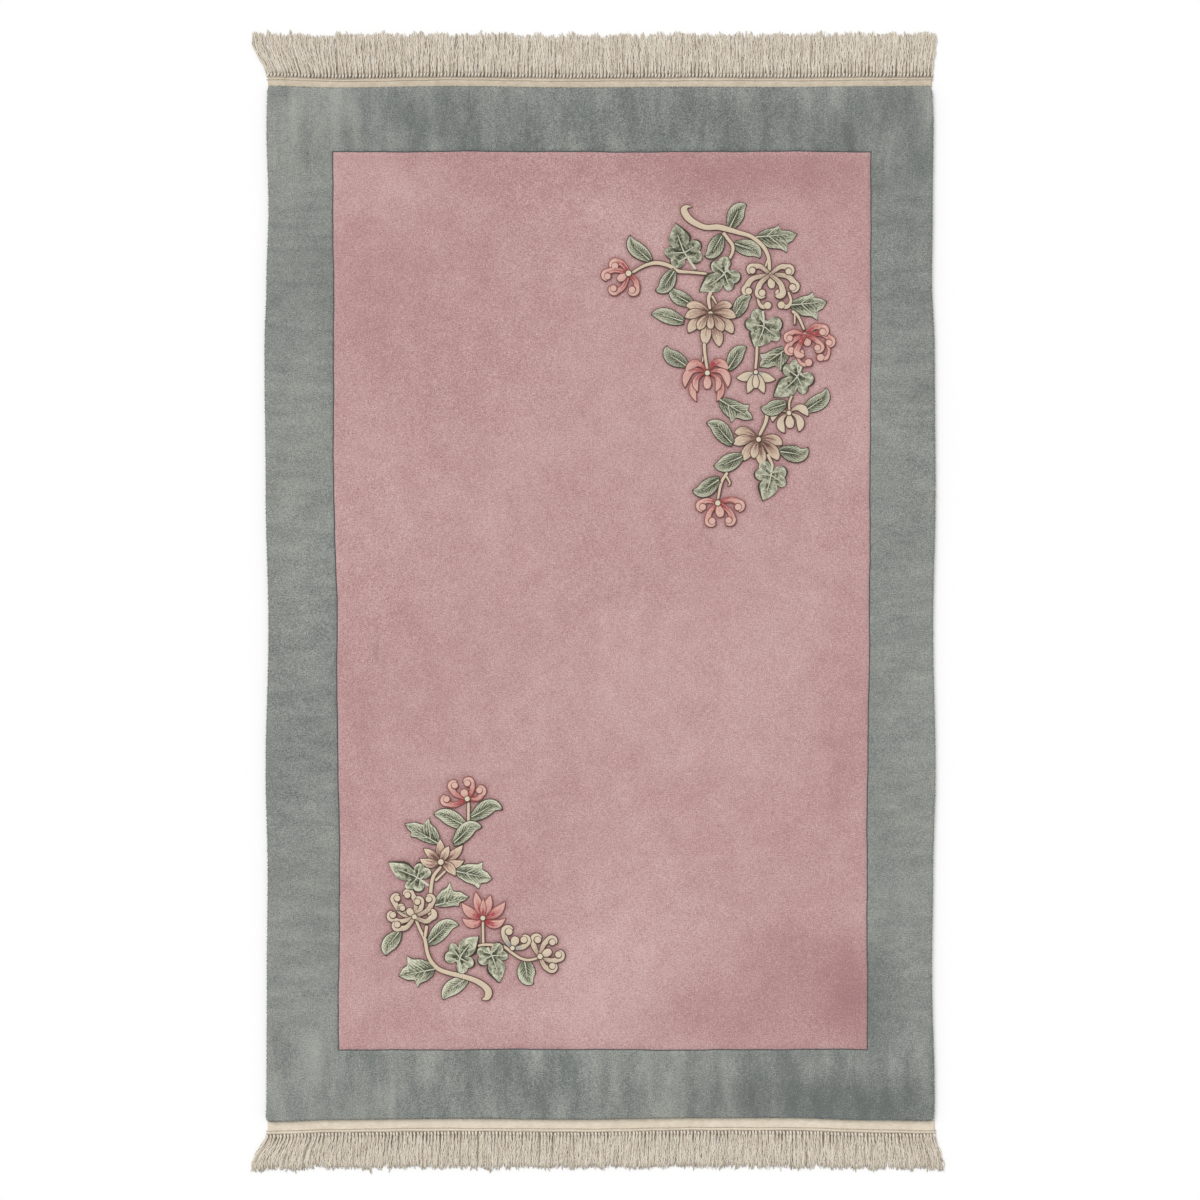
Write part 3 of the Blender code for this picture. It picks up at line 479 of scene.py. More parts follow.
FLOOR_SIZE = 60.0
SKY_STRENGTH = 0.65
DIFFUSER_ENERGY = 1.62
DIFFUSER_SPREAD = math.radians(38.0)
DIFFUSER_TURN = (math.radians(-34.0), math.radians(-26.0), 0.0)


def dyed(red, green, blue):
    """Linear colour from the 0 to 255 values that a screen shows."""
    shares = np.array((red, green, blue)) / 255.0
    linear = np.where(shares <= 0.04045, shares / 12.92, ((shares + 0.055) / 1.055) ** 2.4)
    return (*linear.tolist(), 1.0)


def eased(rows, column, places):
    """A table's column at many places between its rows, eased by half a cosine wave from row to row."""
    known = rows[:, 0]
    places = np.clip(places, known[0], known[-1])
    low = np.clip(np.searchsorted(known, places, side="right") - 1, 0, len(known) - 2)
    share = (places - known[low]) / (known[low + 1] - known[low])
    ease = 0.5 - 0.5 * np.cos(np.pi * share)
    return rows[low, column] + (rows[low + 1, column] - rows[low, column]) * ease


def between(rows, places):
    """The second column of a short table at places of its first, on straight lines between the rows."""
    return np.interp(places, *zip(*rows))


def swell(x, y):
    """Slow rise and fall of the lying cloth: three crossed sine waves, under a millimetre in all."""
    slow = 0.35 * np.sin(2.3 * x + 1.1) * np.cos(1.9 * y + 0.4)
    cross = 0.22 * np.sin(5.1 * x - 3.3 * y + 2.0)
    short = 0.1 * np.sin(11.0 * y + 2.0 * np.sin(3.0 * x))
    return (slow + cross + short) * MM


def flowing(points, count):
    """A smooth line through the points (Catmull-Rom cubic pieces), read at evenly spaced places."""
    points = np.asarray(points, dtype=float)
    points = np.vstack([2 * points[0] - points[1], points, 2 * points[-1] - points[-2]])
    places = np.linspace(0, len(points) - 3, count)
    first = np.minimum(places.astype(int), len(points) - 4)
    t = (places - first)[:, None]
    a, b, c, d = (points[first + step] for step in range(4))
    curve = (2 * a - 5 * b + 4 * c - d) * t**2 + (3 * b - a - 3 * c + d) * t**3
    return 0.5 * (2 * b + (c - a) * t + curve)


def left_of(direction):
    """The direction turned a quarter to the left."""
    return np.stack([-direction[..., 1], direction[..., 0]], axis=-1)


def heading(degrees):
    """The direction at an angle from +x, towards +y."""
    return np.array((math.cos(math.radians(degrees)), math.sin(math.radians(degrees))))


def united(vectors):
    """Each vector divided by its length."""
    return vectors / np.maximum(np.linalg.norm(vectors, axis=-1, keepdims=True), 1e-9)


class Piece:
    """Collects closed grids, each a set of rings with both ends capped, into one mesh."""

    def __init__(self, name):
        self.name = name
        self.points = []
        self.faces = []
        self.values = {}
        self.count = 0

    def add(self, grids, **values):
        """Adds rings of points shaped (count, rings, points of a ring, 3), with values for each point."""
        grids = np.asarray(grids, dtype=float)
        grids = grids.reshape((-1,) + grids.shape[-3:])
        pieces, rings, around = grids.shape[:3]
        index = self.count + np.arange(pieces * rings * around).reshape(pieces, rings, around)
        beside = np.roll(index, -1, axis=2)
        quads = np.stack([index[:, :-1], index[:, 1:], beside[:, 1:], beside[:, :-1]], axis=-1)
        self.faces.append(quads.reshape(-1, 4))
        self.faces.append(np.vstack([index[:, 0, :], index[:, -1, ::-1]]))
        self.points.append(grids.reshape(-1, 3))
        for name, value in values.items():
            full = np.broadcast_to(np.asarray(value, dtype=float), grids.shape[:3])
            self.values.setdefault(name, []).append(full.reshape(-1))
        self.count += pieces * rings * around

    def build(self, material, slot):
        """Makes the mesh object, with one material, and lets it ride on the rug."""
        mesh = mesh_from_arrays(self.name, np.vstack(self.points), self.faces)
        for name, parts in self.values.items():
            keep_values(mesh, name, np.concatenate(parts))
        mesh.materials.append(material)
        return ride(self.name, mesh)


def mesh_from_arrays(name, points, faces):
    """A smooth mesh from an array of points and arrays of faces with equal corners."""
    corners = np.concatenate([group.reshape(-1) for group in faces])
    totals = np.concatenate([np.full(len(group), group.shape[1]) for group in faces])
    starts = np.concatenate([[0], np.cumsum(totals)[:-1]])
    mesh = bpy.data.meshes.new(name)
    mesh.vertices.add(len(points))
    mesh.vertices.foreach_set("co", points.reshape(-1))
    mesh.loops.add(len(corners))
    mesh.loops.foreach_set("vertex_index", corners.astype(np.int32))
    mesh.polygons.add(len(totals))
    mesh.polygons.foreach_set("loop_start", starts.astype(np.int32))
    mesh.polygons.foreach_set("loop_total", totals.astype(np.int32))
    mesh.polygons.foreach_set("use_smooth", np.ones(len(totals), dtype=bool))
    mesh.update(calc_edges=True)
    return mesh


def keep_values(mesh, name, values):
    """Stores one number for each point of the mesh, for its material to read."""
    mesh.attributes.new(name, "FLOAT", "POINT").data.foreach_set("value", values)


def ride(name, mesh):
    """The mesh as an object at the origin, riding on the rug's one body."""
    piece = bpy.data.objects.new(name, mesh)
    bpy.context.scene.collection.objects.link(piece)
    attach(piece, "root")
    return piece


class Finish:
    """A node material with a Principled shader, and short ways to add its nodes."""

    def __init__(self, name, roughness, sheen=0.0, sheen_roughness=0.5):
        self.material = bpy.data.materials.new(name)
        self.material.use_nodes = True
        self.tree = self.material.node_tree
        self.shader = self.tree.nodes["Principled BSDF"]
        self.shader.inputs["Roughness"].default_value = roughness
        self.shader.inputs["Specular IOR Level"].default_value = 0.25
        self.shader.inputs["Sheen Weight"].default_value = sheen
        self.shader.inputs["Sheen Roughness"].default_value = sheen_roughness
        self.place = self.node("ShaderNodeTexCoord").outputs["Object"]

    def node(self, kind, settings=None, inputs=None):
        """Adds a node, with its settings, and its inputs set to values or linked to sockets."""
        made = self.tree.nodes.new(kind)
        for key, value in (settings or {}).items():
            setattr(made, key, value)
        for key, value in (inputs or {}).items():
            if isinstance(value, bpy.types.NodeSocket):
                self.tree.links.new(value, made.inputs[key])
            else:
                made.inputs[key].default_value = value
        return made

    def attribute(self, name):
        """A number that the mesh keeps for each point."""
        return self.node("ShaderNodeAttribute", {"attribute_name": name}).outputs["Fac"]

    def stretched(self, x, y, z=1.0):
        """The place on the rug, scaled by these factors."""
        inputs = {"Vector": self.place, "Scale": (x, y, z)}
        return self.node("ShaderNodeMapping", None, inputs).outputs["Vector"]

    def noise(self, scale, detail=3.0, roughness=0.55, place=None):
        """Smooth noise around 0.5, with this many waves to a metre."""
        inputs = {"Vector": place or self.place, "Scale": scale, "Detail": detail, "Roughness": roughness}
        return self.node("ShaderNodeTexNoise", None, inputs).outputs["Fac"]

    def math(self, operation, first, second=0.0, third=0.0, clamp=False):
        """One step of arithmetic."""
        inputs = {0: first, 1: second, 2: third}
        return self.node("ShaderNodeMath", {"operation": operation, "use_clamp": clamp}, inputs).outputs[0]

    def spread(self, value, low, high, to_low=0.0, to_high=1.0):
        """The value's range carried onto another along a smooth step, clamped at both ends."""
        inputs = {"Value": value, "From Min": low, "From Max": high, "To Min": to_low, "To Max": to_high}
        steps = {"interpolation_type": "SMOOTHSTEP"}
        return self.node("ShaderNodeMapRange", steps, inputs).outputs["Result"]

    def total(self, start, *terms):
        """A start value plus each noise, taken from its middle, times its weight."""
        value = start
        for noise, weight in terms:
            value = self.math("MULTIPLY_ADD", self.math("SUBTRACT", noise, 0.5), weight, value)
        return value

    def ramp(self, factor, *stops):
        """Colours blended between stops of a position and a colour."""
        made = self.node("ShaderNodeValToRGB", None, {"Fac": factor})
        steps = made.color_ramp.elements
        while len(steps) < len(stops):
            steps.new(0.5)
        for step, (position, colour) in zip(steps, stops):
            step.position = position
            step.color = colour
        return made.outputs["Color"]

    def mix(self, factor, first, second, blend="MIX"):
        """Two colours mixed or multiplied."""
        settings = {"data_type": "RGBA", "blend_type": blend}
        return self.node("ShaderNodeMix", settings, {0: factor, 6: first, 7: second}).outputs[2]

    def grained(self, colour, factor, low, high):
        """The colour times a grey that runs from low to high with the factor."""
        grey = self.ramp(factor, (0.25, (low, low, low, 1.0)), (0.75, (high, high, high, 1.0)))
        return self.mix(1.0, colour, grey, "MULTIPLY")

    def finish(self, colour, height, depth):
        """Wires the colour and a bump of the given height pattern and depth in metres."""
        self.tree.links.new(colour, self.shader.inputs["Base Color"])
        bump = self.node("ShaderNodeBump", None, {"Height": height, "Distance": depth, "Strength": 0.6})
        self.tree.links.new(bump.outputs["Normal"], self.shader.inputs["Normal"])
        return self.material


def pile_finish(name, dark, middle, light, halo, streak, band_weight, tint):
    """Cut pile: cloudy shading over metres, streaks, mottling over centimetres, the grain of tufts, and
    painted shade in the hollow round the motifs.

    The streaks run across the rug at its sides and turn to run along it where the wool leans so.
    """
    wool = Finish(name, 0.92, sheen=0.18, sheen_roughness=0.55)
    cloud = wool.noise(1.6, 2.0)
    bands = wool.noise(1.0, 3.0, 0.6, wool.stretched(*streak))
    mottle = wool.noise(16.0, 4.0, 0.6)
    blot = wool.noise(60.0, 3.0, 0.6)
    grain = wool.noise(230.0, 2.0, 0.6)
    fine = wool.noise(420.0, 1.0, 0.6)
    weave = wool.noise(1.0, 1.0, 0.5, wool.stretched(110.0, 420.0))
    warp = wool.noise(1.0, 1.0, 0.5, wool.stretched(380.0, 60.0))
    turned = wool.noise(1.0, 3.0, 0.6, wool.stretched(streak[1] * 1.6, streak[0] * 1.6))
    rungs = wool.total(0.5, (turned, 0.5))
    leaning = wool.mix(wool.attribute("lean"), rungs, bands)
    tone = wool.total(
        0.5, (cloud, 0.45), (leaning, band_weight), (mottle, 0.35), (blot, 0.22),
        (weave, 0.5), (warp, 0.35), (grain, 0.6), (fine, 1.6))
    # The patches: dye changes, and painted light and shade where the pile leans another way.
    tone = wool.math("MULTIPLY_ADD", wool.attribute("shade"), 0.42, tone)
    colour = wool.ramp(tone, (0.1, dark), (0.5, middle), (0.9, light))
    hue = wool.spread(wool.noise(5.0, 3.0), 0.35, 0.7)
    colour = wool.mix(wool.math("MULTIPLY", hue, 0.35), colour, wool.mix(1.0, colour, tint, "MULTIPLY"))
    # Painted shade in the hollow shorn round the motifs: the pile darkens towards their edges.
    shaded = wool.math("POWER", wool.attribute("halo"), 1.4)
    shaded = wool.math("MULTIPLY", shaded, wool.total(0.85, (blot, 1.4), (grain, 0.5)), clamp=True)
    colour = wool.mix(wool.math("MULTIPLY", shaded, 0.5), colour, halo)
    height = wool.total(0.5, (mottle, 0.8), (blot, 0.6), (grain, 0.5))
    return wool.finish(colour, height, 2.0 * MM)


def line_shade_finish():
    """Dark grey at the bottom of the carved line round the field: painted shade in the groove."""
    wool = Finish("carved_line_painted_shade", 0.95, sheen=0.1)
    colour = wool.ramp(wool.noise(300.0), (0.3, dyed(66, 70, 74)), (0.7, dyed(98, 102, 104)))
    return wool.finish(colour, wool.noise(400.0), 1.0 * MM)


def back_finish():
    """The back of the knots: small woollen squares in rows, with the pale cotton between them."""
    back = Finish("knotted_back", 0.95)
    rows = back.node("ShaderNodeTexBrick", None, {
        "Vector": back.place, "Color1": dyed(150, 126, 120), "Color2": dyed(134, 112, 108),
        "Mortar": dyed(190, 176, 156), "Scale": 1.0, "Mortar Size": 0.0003,
        "Brick Width": 0.0032, "Row Height": 0.0026,
    })
    return back.finish(rows.outputs["Color"], rows.outputs["Fac"], 0.5 * MM)


def motif_finish(
        name, root, body, tip, rim, body_at, weights, streaks=0.0, hatching=0.0, root_to=0.45):
    """Dyed pile of a carved motif: shaded from its root and midrib to its tip and rim by the two weights,
    in streaks that follow it and a slanting hatching of single tufts, and darker close to its rim: partly a
    dyed outline, partly painted shade where the rim turns down."""
    wool = Finish(name, 0.9, sheen=0.12, sheen_roughness=0.5)
    along, across = wool.attribute("along"), wool.attribute("across")
    grain = wool.noise(300.0, 2.0, 0.6)
    blot = wool.noise(110.0, 3.0, 0.6)
    follow = wool.node("ShaderNodeCombineXYZ", None, {
        0: wool.math("MULTIPLY", across, 3.2), 1: wool.math("MULTIPLY", along, 1.3),
        2: wool.attribute("part")})
    streak = wool.noise(1.0, 3.0, 0.6, follow.outputs[0])
    slant = wool.math("MULTIPLY_ADD", along, 52.0, wool.math("MULTIPLY", across, -22.0))
    slant = wool.math("MULTIPLY_ADD", grain, 6.0, slant)
    hatch = wool.math("SINE", wool.math("MULTIPLY_ADD", blot, 9.0, slant))
    depth = wool.math("MULTIPLY_ADD", across, weights[1], wool.math("MULTIPLY", along, weights[0]))
    depth = wool.total(depth, (grain, 0.5), (blot, 0.4), (streak, streaks))
    depth = wool.math("MULTIPLY_ADD", hatch, hatching, depth)
    colour = wool.ramp(depth, (body_at - root_to, root), (body_at, body), (body_at + 0.35, tip))
    colour = wool.grained(colour, grain, 0.88, 1.09)
    edge = wool.total(wool.attribute("rim"), (blot, 0.8), (grain, 0.8))
    # Darker close to the rim: partly the dyed outline, partly painted shade on the rounded shoulder.
    colour = wool.mix(wool.spread(edge, 0.3, 1.2, 0.85, 0.0), colour, rim)
    colour = wool.mix(1.0, colour, wool.attribute("gain"), "MULTIPLY")
    return wool.finish(colour, wool.total(0.5, (grain, 0.8), (blot, 0.5)), 1.2 * MM)


def cut_finish():
    """The dark outline wool down in the cut that is shorn round each motif, with painted shade in the cut.
    """
    wool = Finish("shorn_cut_outline_and_shade", 0.95)
    warmth = wool.total(wool.attribute("warmth"), (wool.noise(260.0, 2.0), 0.6))
    colour = wool.ramp(warmth, (0.0, dyed(74, 68, 56)), (0.5, dyed(104, 80, 70)), (1.0, dyed(144, 88, 81)))
    return wool.finish(colour, wool.noise(300.0), 0.8 * MM)


def cotton_finish(name, dark, light):
    """Undyed cotton: ribs of the weave, slubs, and a little grey where it is soiled."""
    cotton = Finish(name, 0.88, sheen=0.1)
    ribs = cotton.noise(1.0, 2.0, 0.5, cotton.stretched(60.0, 520.0))
    slub = cotton.noise(45.0, 4.0, 0.6)
    soil = cotton.noise(4.0, 3.0)
    tone = cotton.total(0.5, (ribs, 0.7), (slub, 0.6), (soil, 0.4))
    colour = cotton.ramp(tone, (0.2, dark), (0.75, light))
    return cotton.finish(colour, cotton.total(0.5, (ribs, 1.0), (slub, 0.4)), 0.8 * MM)


def yarn_finish():
    """Fringe cotton: each yarn its own tone, painted shade on the yarns deep in the fringe, fine plied
    twist.
    """
    cotton = Finish("fringe_cotton", 0.85, sheen=0.12)
    fine, slow = cotton.noise(240.0, 2.0), cotton.noise(30.0)
    tone = cotton.total(cotton.attribute("tone"), (fine, 0.35), (slow, 0.3))
    colour = cotton.ramp(
        tone, (0.05, dyed(138, 120, 97)), (0.42, dyed(208, 197, 180)), (0.9, dyed(236, 228, 214)))
    twist = cotton.noise(1.0, 1.0, 0.5, cotton.stretched(500.0, 900.0, 500.0))
    return cotton.finish(colour, twist, 0.5 * MM)


FINISHES = {
    # The fifth colour of each pile is its painted shade in the hollow round the motifs.
    "field": pile_finish(
        "rose_field_wool", dyed(160, 118, 119), dyed(187, 150, 148), dyed(211, 181, 177),
        dyed(140, 92, 97), (6.0, 11.0), 0.35, (1.0, 0.96, 0.985, 1.0)),
    "border": pile_finish(
        "green_grey_border_wool", dyed(99, 104, 101), dyed(135, 137, 132), dyed(166, 167, 159),
        dyed(110, 114, 112), (20.0, 5.0), 1.0, (0.93, 1.0, 1.025, 1.0)),
    "line": line_shade_finish(),
    "back": back_finish(),
    "web_top": cotton_finish("tan_web_cotton", dyed(186, 171, 149), dyed(224, 211, 191)),
    "web_bottom": cotton_finish("cream_web_cotton", dyed(205, 191, 169), dyed(237, 226, 208)),
    "yarn": yarn_finish(),
    "cut": cut_finish(),
    # The fourth colour of each motif darkens its rim: dyed outline and painted shade.
    "leaf": motif_finish(
        "sage_leaf_wool", dyed(62, 65, 49), dyed(149, 150, 129), dyed(197, 196, 175),
        dyed(102, 98, 81), 0.66, (0.55, 0.72), 1.0, 0.22, 0.4),
    "vein": motif_finish(
        "pale_vein_wool", dyed(199, 198, 176), dyed(205, 204, 183), dyed(205, 204, 183),
        dyed(154, 156, 134), 0.5, (1.0, 0.0)),
    "stem": motif_finish(
        "cream_stem_wool", dyed(194, 175, 151), dyed(205, 187, 164), dyed(210, 192, 168),
        dyed(128, 104, 90), 0.5, (1.0, 0.0)),
    "rose": motif_finish(
        "rose_petal_wool", dyed(160, 66, 72), dyed(204, 153, 144), dyed(214, 175, 163),
        dyed(150, 94, 90), 0.44, (1.0, 0.1), 1.4, 0.0, 0.3),
    "lotus": motif_finish(
        "brown_and_cream_petal_wool", dyed(98, 70, 62), dyed(174, 143, 127), dyed(209, 189, 167),
        dyed(120, 94, 82), 0.54, (1.0, 0.15), 1.8, 0.0, 0.36),
    "cream": motif_finish(
        "cream_petal_wool", dyed(160, 136, 122), dyed(202, 184, 162), dyed(211, 194, 172),
        dyed(130, 108, 94), 0.36, (1.0, 0.1), 0.9),
    "dew": motif_finish(
        "cream_and_dew_petal_wool", dyed(132, 152, 158), dyed(202, 186, 163), dyed(211, 195, 171),
        dyed(130, 108, 96), 0.42, (1.0, 0.1), 0.8),
    "knot": motif_finish(
        "pale_middle_wool", dyed(212, 202, 178), dyed(214, 204, 180), dyed(214, 204, 180),
        dyed(150, 130, 114), 0.5, (1.0, 0.0)),
}


def shoulder_rise(places):
    """How high a rounded shoulder stands at each place: a quarter of a circle, full at the last place."""
    return np.sqrt(1 - (1 - places / places[-1]) ** 2)


def crowned(centre, half_left, half_right, relief, slim=SLIM_STRIP, places=SHOULDER_PLACES, spine=True,
            wider=0.0):
    """A low strip carried along a line: a flat crown between two rounded shoulders, its root sunk in
    the pile. It stands lower where it is slim, or where the strip that it is wider than is slim.

    Returns the rings, how far across each point is, and its distance from the rim in mm.
    """
    side = left_of(united(np.gradient(centre, axis=0)))
    places = np.array(places)
    rings = []
    for sign, half in ((-1, half_right), (1, half_left)):
        half = half[:, None]
        inward = np.minimum(SHOULDER, STRIP_SHOULDER * half) * places[::-sign]
        tall = relief * np.clip((half - wider) / slim, 0.0, 1.0) + RIM_SINK
        height = tall * shoulder_rise(places)[::-sign] - RIM_SINK
        rings.append(np.stack([sign * (half - inward), height, inward, 1 - inward / half], axis=-1))
    if spine:
        both = 0.5 * (rings[0][:, -1:] + rings[1][:, :1])
        both[..., 0] = 0.0
        both[..., 2] = np.minimum(half_left, half_right)[:, None]
        both[..., 3] = 0.0
        rings.insert(1, both)
    offset, height, distance, across = np.moveaxis(np.concatenate(rings, axis=1), -1, 0)
    flat = centre[:, None, :] + side[:, None, :] * offset[..., None]
    height = PILE_TOP + height + swell(flat[..., 0], flat[..., 1])
    top = np.concatenate([flat, height[..., None]], axis=-1)
    foot = np.stack([top[:, -1], top[:, 0]], axis=1)
    foot[..., 2] = PILE_TOP - ROOT_SINK
    rim = np.concatenate([distance / MM, np.zeros((len(centre), 2))], axis=1)
    across = np.concatenate([across, np.ones((len(centre), 2))], axis=1)
    return np.concatenate([top, foot], axis=1), across, rim


def domed(middle, reach, relief, places=SHOULDER_PLACES, inner=ISLAND_RINGS):
    """A low island of any outline: a rounded shoulder inside a reach given for each direction, then a
    flat crown in rings that shrink to the middle. Returns the rings and their share of the reach."""
    angles = -np.linspace(0, 2 * math.pi, len(reach), endpoint=False)
    out = np.stack([np.cos(angles), np.sin(angles)], axis=-1)
    shoulder = np.minimum(SHOULDER, ISLAND_SHOULDER * reach)
    radii = [reach] + [reach - shoulder * place for place in places]
    radii = np.stack(radii + [(reach - shoulder) * share for share in inner])
    flat = middle + radii[..., None] * out[None]
    rise = np.concatenate([shoulder_rise(np.array(places)), np.ones(len(inner))])
    crown = (relief + RIM_SINK) * rise - RIM_SINK
    height = PILE_TOP + np.concatenate([[0.0], crown])[:, None] + swell(flat[..., 0], flat[..., 1])
    height[0] = PILE_TOP - ROOT_SINK
    return np.concatenate([flat, height[..., None]], axis=-1), radii / reach


def bowed_line(start, end, bow, count, skew=0.0):
    """A line from start to end that bows to its left by a share of its length, as a parabola.

    With skew the bow leans towards the end, which hooks the tip.
    """
    share = np.linspace(0, 1, count)[:, None]
    along = end - start
    bulge = bow * 4 * share * (1 - share) * (1 + skew * (share - 0.5))
    return start + along * share + left_of(along) * bulge


class Spray:
    """One spray of stems, leaves and flowers, with a piece for each dye and the places it covers."""

    def __init__(self, name):
        self.name = name
        self.pieces = {}
        self.covered = []
        self.layer = 0
        self.part = 0

    def add(self, kind, rings, **values):
        """Adds rings to the piece of their kind, and notes the places that they cover."""
        if kind not in self.pieces:
            self.pieces[kind] = Piece(f"{kind}_{self.name}")
        self.part += 1
        gain = LIGHTER.get(kind, REST_LIGHTER) if self.name == "lower" else 1.0
        self.pieces[kind].add(rings, part=self.part * STREAKS_APART, gain=gain, **values)
        self.covered.append(rings[..., :2].reshape(-1, 2))

    def step(self):
        """Each new part stands a little above the last one, up to a count, and then starts again."""
        self.layer = (self.layer + 1) % LAYERS
        return self.layer * LAYER_STEP

    def strip(self, kind, centre, half_left, half_right, relief, along):
        """A carved strip, over a wider dark one that shows round it as the shorn cut: a dark outline and
        painted shade.
        """
        relief = relief + self.step()
        rings, across, rim = crowned(centre, half_left, half_right, relief)
        self.add(kind, rings, along=np.asarray(along)[:, None], across=across, rim=rim)
        longer = centre.copy()
        longer[0] += united(centre[0] - centre[1]) * CUT_OUT
        longer[-1] += united(centre[-1] - centre[-2]) * CUT_OUT
        rings, _, _ = crowned(
            longer, half_left + CUT_OUT, half_right + CUT_OUT, relief - CUT_BELOW, places=CUT_PLACES,
            spine=False, wider=CUT_OUT)
        self.add("cut", rings, warmth=CUT_WARMTH[kind])

    def island(self, kind, middle, reach, relief, shift=(0.0, 0.0)):
        """A carved island over its wider dark cut, which may be shifted to show on one side alone."""
        relief = relief + self.step()
        rings, share = domed(middle, reach, relief)
        cut, _ = domed(middle + np.array(shift), reach + CUT_OUT, relief - CUT_BELOW, CUT_PLACES, CUT_RINGS)
        self.add("cut", cut, warmth=CUT_WARMTH[kind])
        return rings, share, (1 - share) * reach / MM

    def ball(self, kind, middle, radius, relief, joined=None):
        """A round knob. On the side where it is joined to a band, no cut and no dark rim show."""
        shift = (0.0, 0.0) if joined is None else -joined * CUT_OUT
        rings, share, rim = self.island(kind, middle, np.full(BALL_POINTS, radius), relief, shift)
        if joined is not None:
            rim = rim + np.clip((rings[..., :2] - middle) @ joined / radius, 0, 1) * JOINED_RIM
        self.add(kind, rings, along=0.9, across=share, rim=rim)

    def vein(self, places, halves):
        """A thin pale ridge on a leaf, a little higher than the leaf that was made last."""
        centre = flowing(places, RINGS["vein"])
        half = np.linspace(*halves, RINGS["vein"]) * MM
        relief = RELIEF["leaf"] + self.layer * LAYER_STEP + VEIN_LIFT
        rings, across, _ = crowned(centre, half, half, relief, SLIM_VEIN, VEIN_PLACES, False)
        self.add("vein", rings, along=0.7, across=across, rim=NO_RIM)

    def stem(self, kind, places):
        """A strip along a smooth line through the places, rounded off at its ends, with a ball at a
        thick last end."""
        line = flowing(np.asarray(places) * CM, RINGS_A_STEM_PLACE * len(places))
        centre, half = line[:, :2], np.clip(FULLER["stem"] * line[:, 2], SLIMMEST, STEM_MOST)
        number = np.arange(len(half))
        end = np.minimum(number, number[::-1])
        half = half * np.sqrt(np.clip((end + 0.4) / 2.0, 0.05, 1.0))
        has_ball = places[-1][2] >= BALL_FROM
        if has_ball:
            half = np.minimum(half, between(((len(half) - 12, 10 * MM), (len(half) - 1, 5 * MM)), number))
        along = np.full(len(half), 0.8) if kind == "stem" else np.linspace(0.25, 0.95, len(half))
        self.strip(kind, centre, half, half, RELIEF["stem"], along)
        if has_ball:
            radius = FULLER["stem ball"] * places[-1][2] * CM
            back = united(centre[-RINGS_A_STEM_PLACE] - centre[-1])
            self.ball(kind, centre[-1], radius, RELIEF["stem"] + BALL_LIFT, back)

    def simple_leaf(self, row):
        """A pointed oval: half width grows with place along and falls with the fourth-fifths power left."""
        base, tip = np.array(row[0:2]) * CM, np.array(row[2:4]) * CM
        bow = LEAF_BOW * row[5] * CM / np.linalg.norm(tip - base)
        centre = bowed_line(base, tip, bow, RINGS["leaf"], LEAF_HOOK)
        share = np.linspace(0, 1, RINGS["leaf"])
        half = (0.3 + 2.3 * share) * (1 - share) ** 0.8 / 0.83 * row[4] * FULLER["leaf"] * CM / 2
        half = np.maximum(half, POINT_HALF)
        self.strip("leaf", centre, half, half, RELIEF["leaf"], share)
        self.vein((centre[1], centre[10], centre[19]), MIDRIB)

    def cut_leaf(self, row):
        """A leaf with a tooth on either side: each half width runs up to its tooth and drops behind it."""
        base, tip = np.array(row[0:2]) * CM, np.array(row[2:4]) * CM
        length = np.linalg.norm(tip - base)
        forward = (tip - base) / length
        share = np.linspace(0, 1, RINGS["cut leaf"])
        halves = {}
        teeth = []
        for column in (4, 6):
            tooth = np.array(row[column:column + 2]) * CM - base
            place = float(tooth @ forward) / length
            offset = float(tooth @ left_of(forward))
            front = [(place * way, width) for way, width in TOOTH_FRONT]
            back = [(place + (1 - place) * way, width) for way, width in TOOTH_BACK]
            width = between(front + [(place + TOOTH_NOTCH[0], TOOTH_NOTCH[1])] + back, share)
            halves[offset > 0] = np.maximum(width * abs(offset) * FULLER["cut leaf"], POINT_HALF)
            teeth.append((place, tooth))
        centre = base + (tip - base) * share[:, None]
        self.strip("leaf", centre, halves[True], halves[False], RELIEF["leaf"], share)
        self.vein((base - forward * 2 * MM, base + forward * length * 0.78), MIDRIB)
        for place, tooth in teeth:
            root = base + forward * length * place * 0.42
            self.vein((root, root + (base + tooth - root) * 0.66), TOOTH_VEIN)

    def lobed_leaf(self, row):
        """Four round lobes and a long point, as the farthest of four circles and a leaf shape.

        The leaf shape widens from the middle and narrows to the tip. All of it then bows a little.
        """
        middle, tip = np.array(row[0:2]) * CM, np.array(row[2:4]) * CM
        lobe, foot = row[4] * CM, np.array(row[5:7]) * CM
        length = np.linalg.norm(tip - middle)
        axis = (tip - middle) / length
        toward = math.degrees(math.atan2(axis[1], axis[0]))
        angles = -np.linspace(0, 360, LOBED_POINTS, endpoint=False) - toward
        angles = np.radians((angles + 180) % 360 - 180)
        way = np.linspace(1, 0.02, 60)
        width = between(LOBED_POINT, way) * lobe
        point = np.interp(np.abs(angles), np.arctan2(width, way * length), np.hypot(width, way * length))
        reach = np.where(np.abs(angles) < math.pi / 2, point, LOBED_FOOT * lobe)
        for turn, out, radius in LEAF_LOBES:
            off = angles - math.radians(turn)
            inside = (radius * lobe) ** 2 - (out * lobe * np.sin(off)) ** 2
            circle = out * lobe * np.cos(off) + np.sqrt(np.maximum(inside, 0))
            reach = np.maximum(reach, np.where((inside > 0) & (np.cos(off) > 0), circle, 0))
        rings, share, rim = self.island("leaf", middle, reach, RELIEF["leaf"])
        place = (rings[..., :2] - middle) @ axis / length
        bow = np.where(place > 0, place * (1 - place), 0.3 * place) * LOBED_BOW * length
        rings[..., :2] += bow[..., None] * left_of(axis)
        notch = 0.5 - 0.5 * np.cos(6 * angles)[None]
        self.add("leaf", rings, along=0.32 + 0.36 * share, across=share * (0.88 - 0.3 * notch), rim=rim)
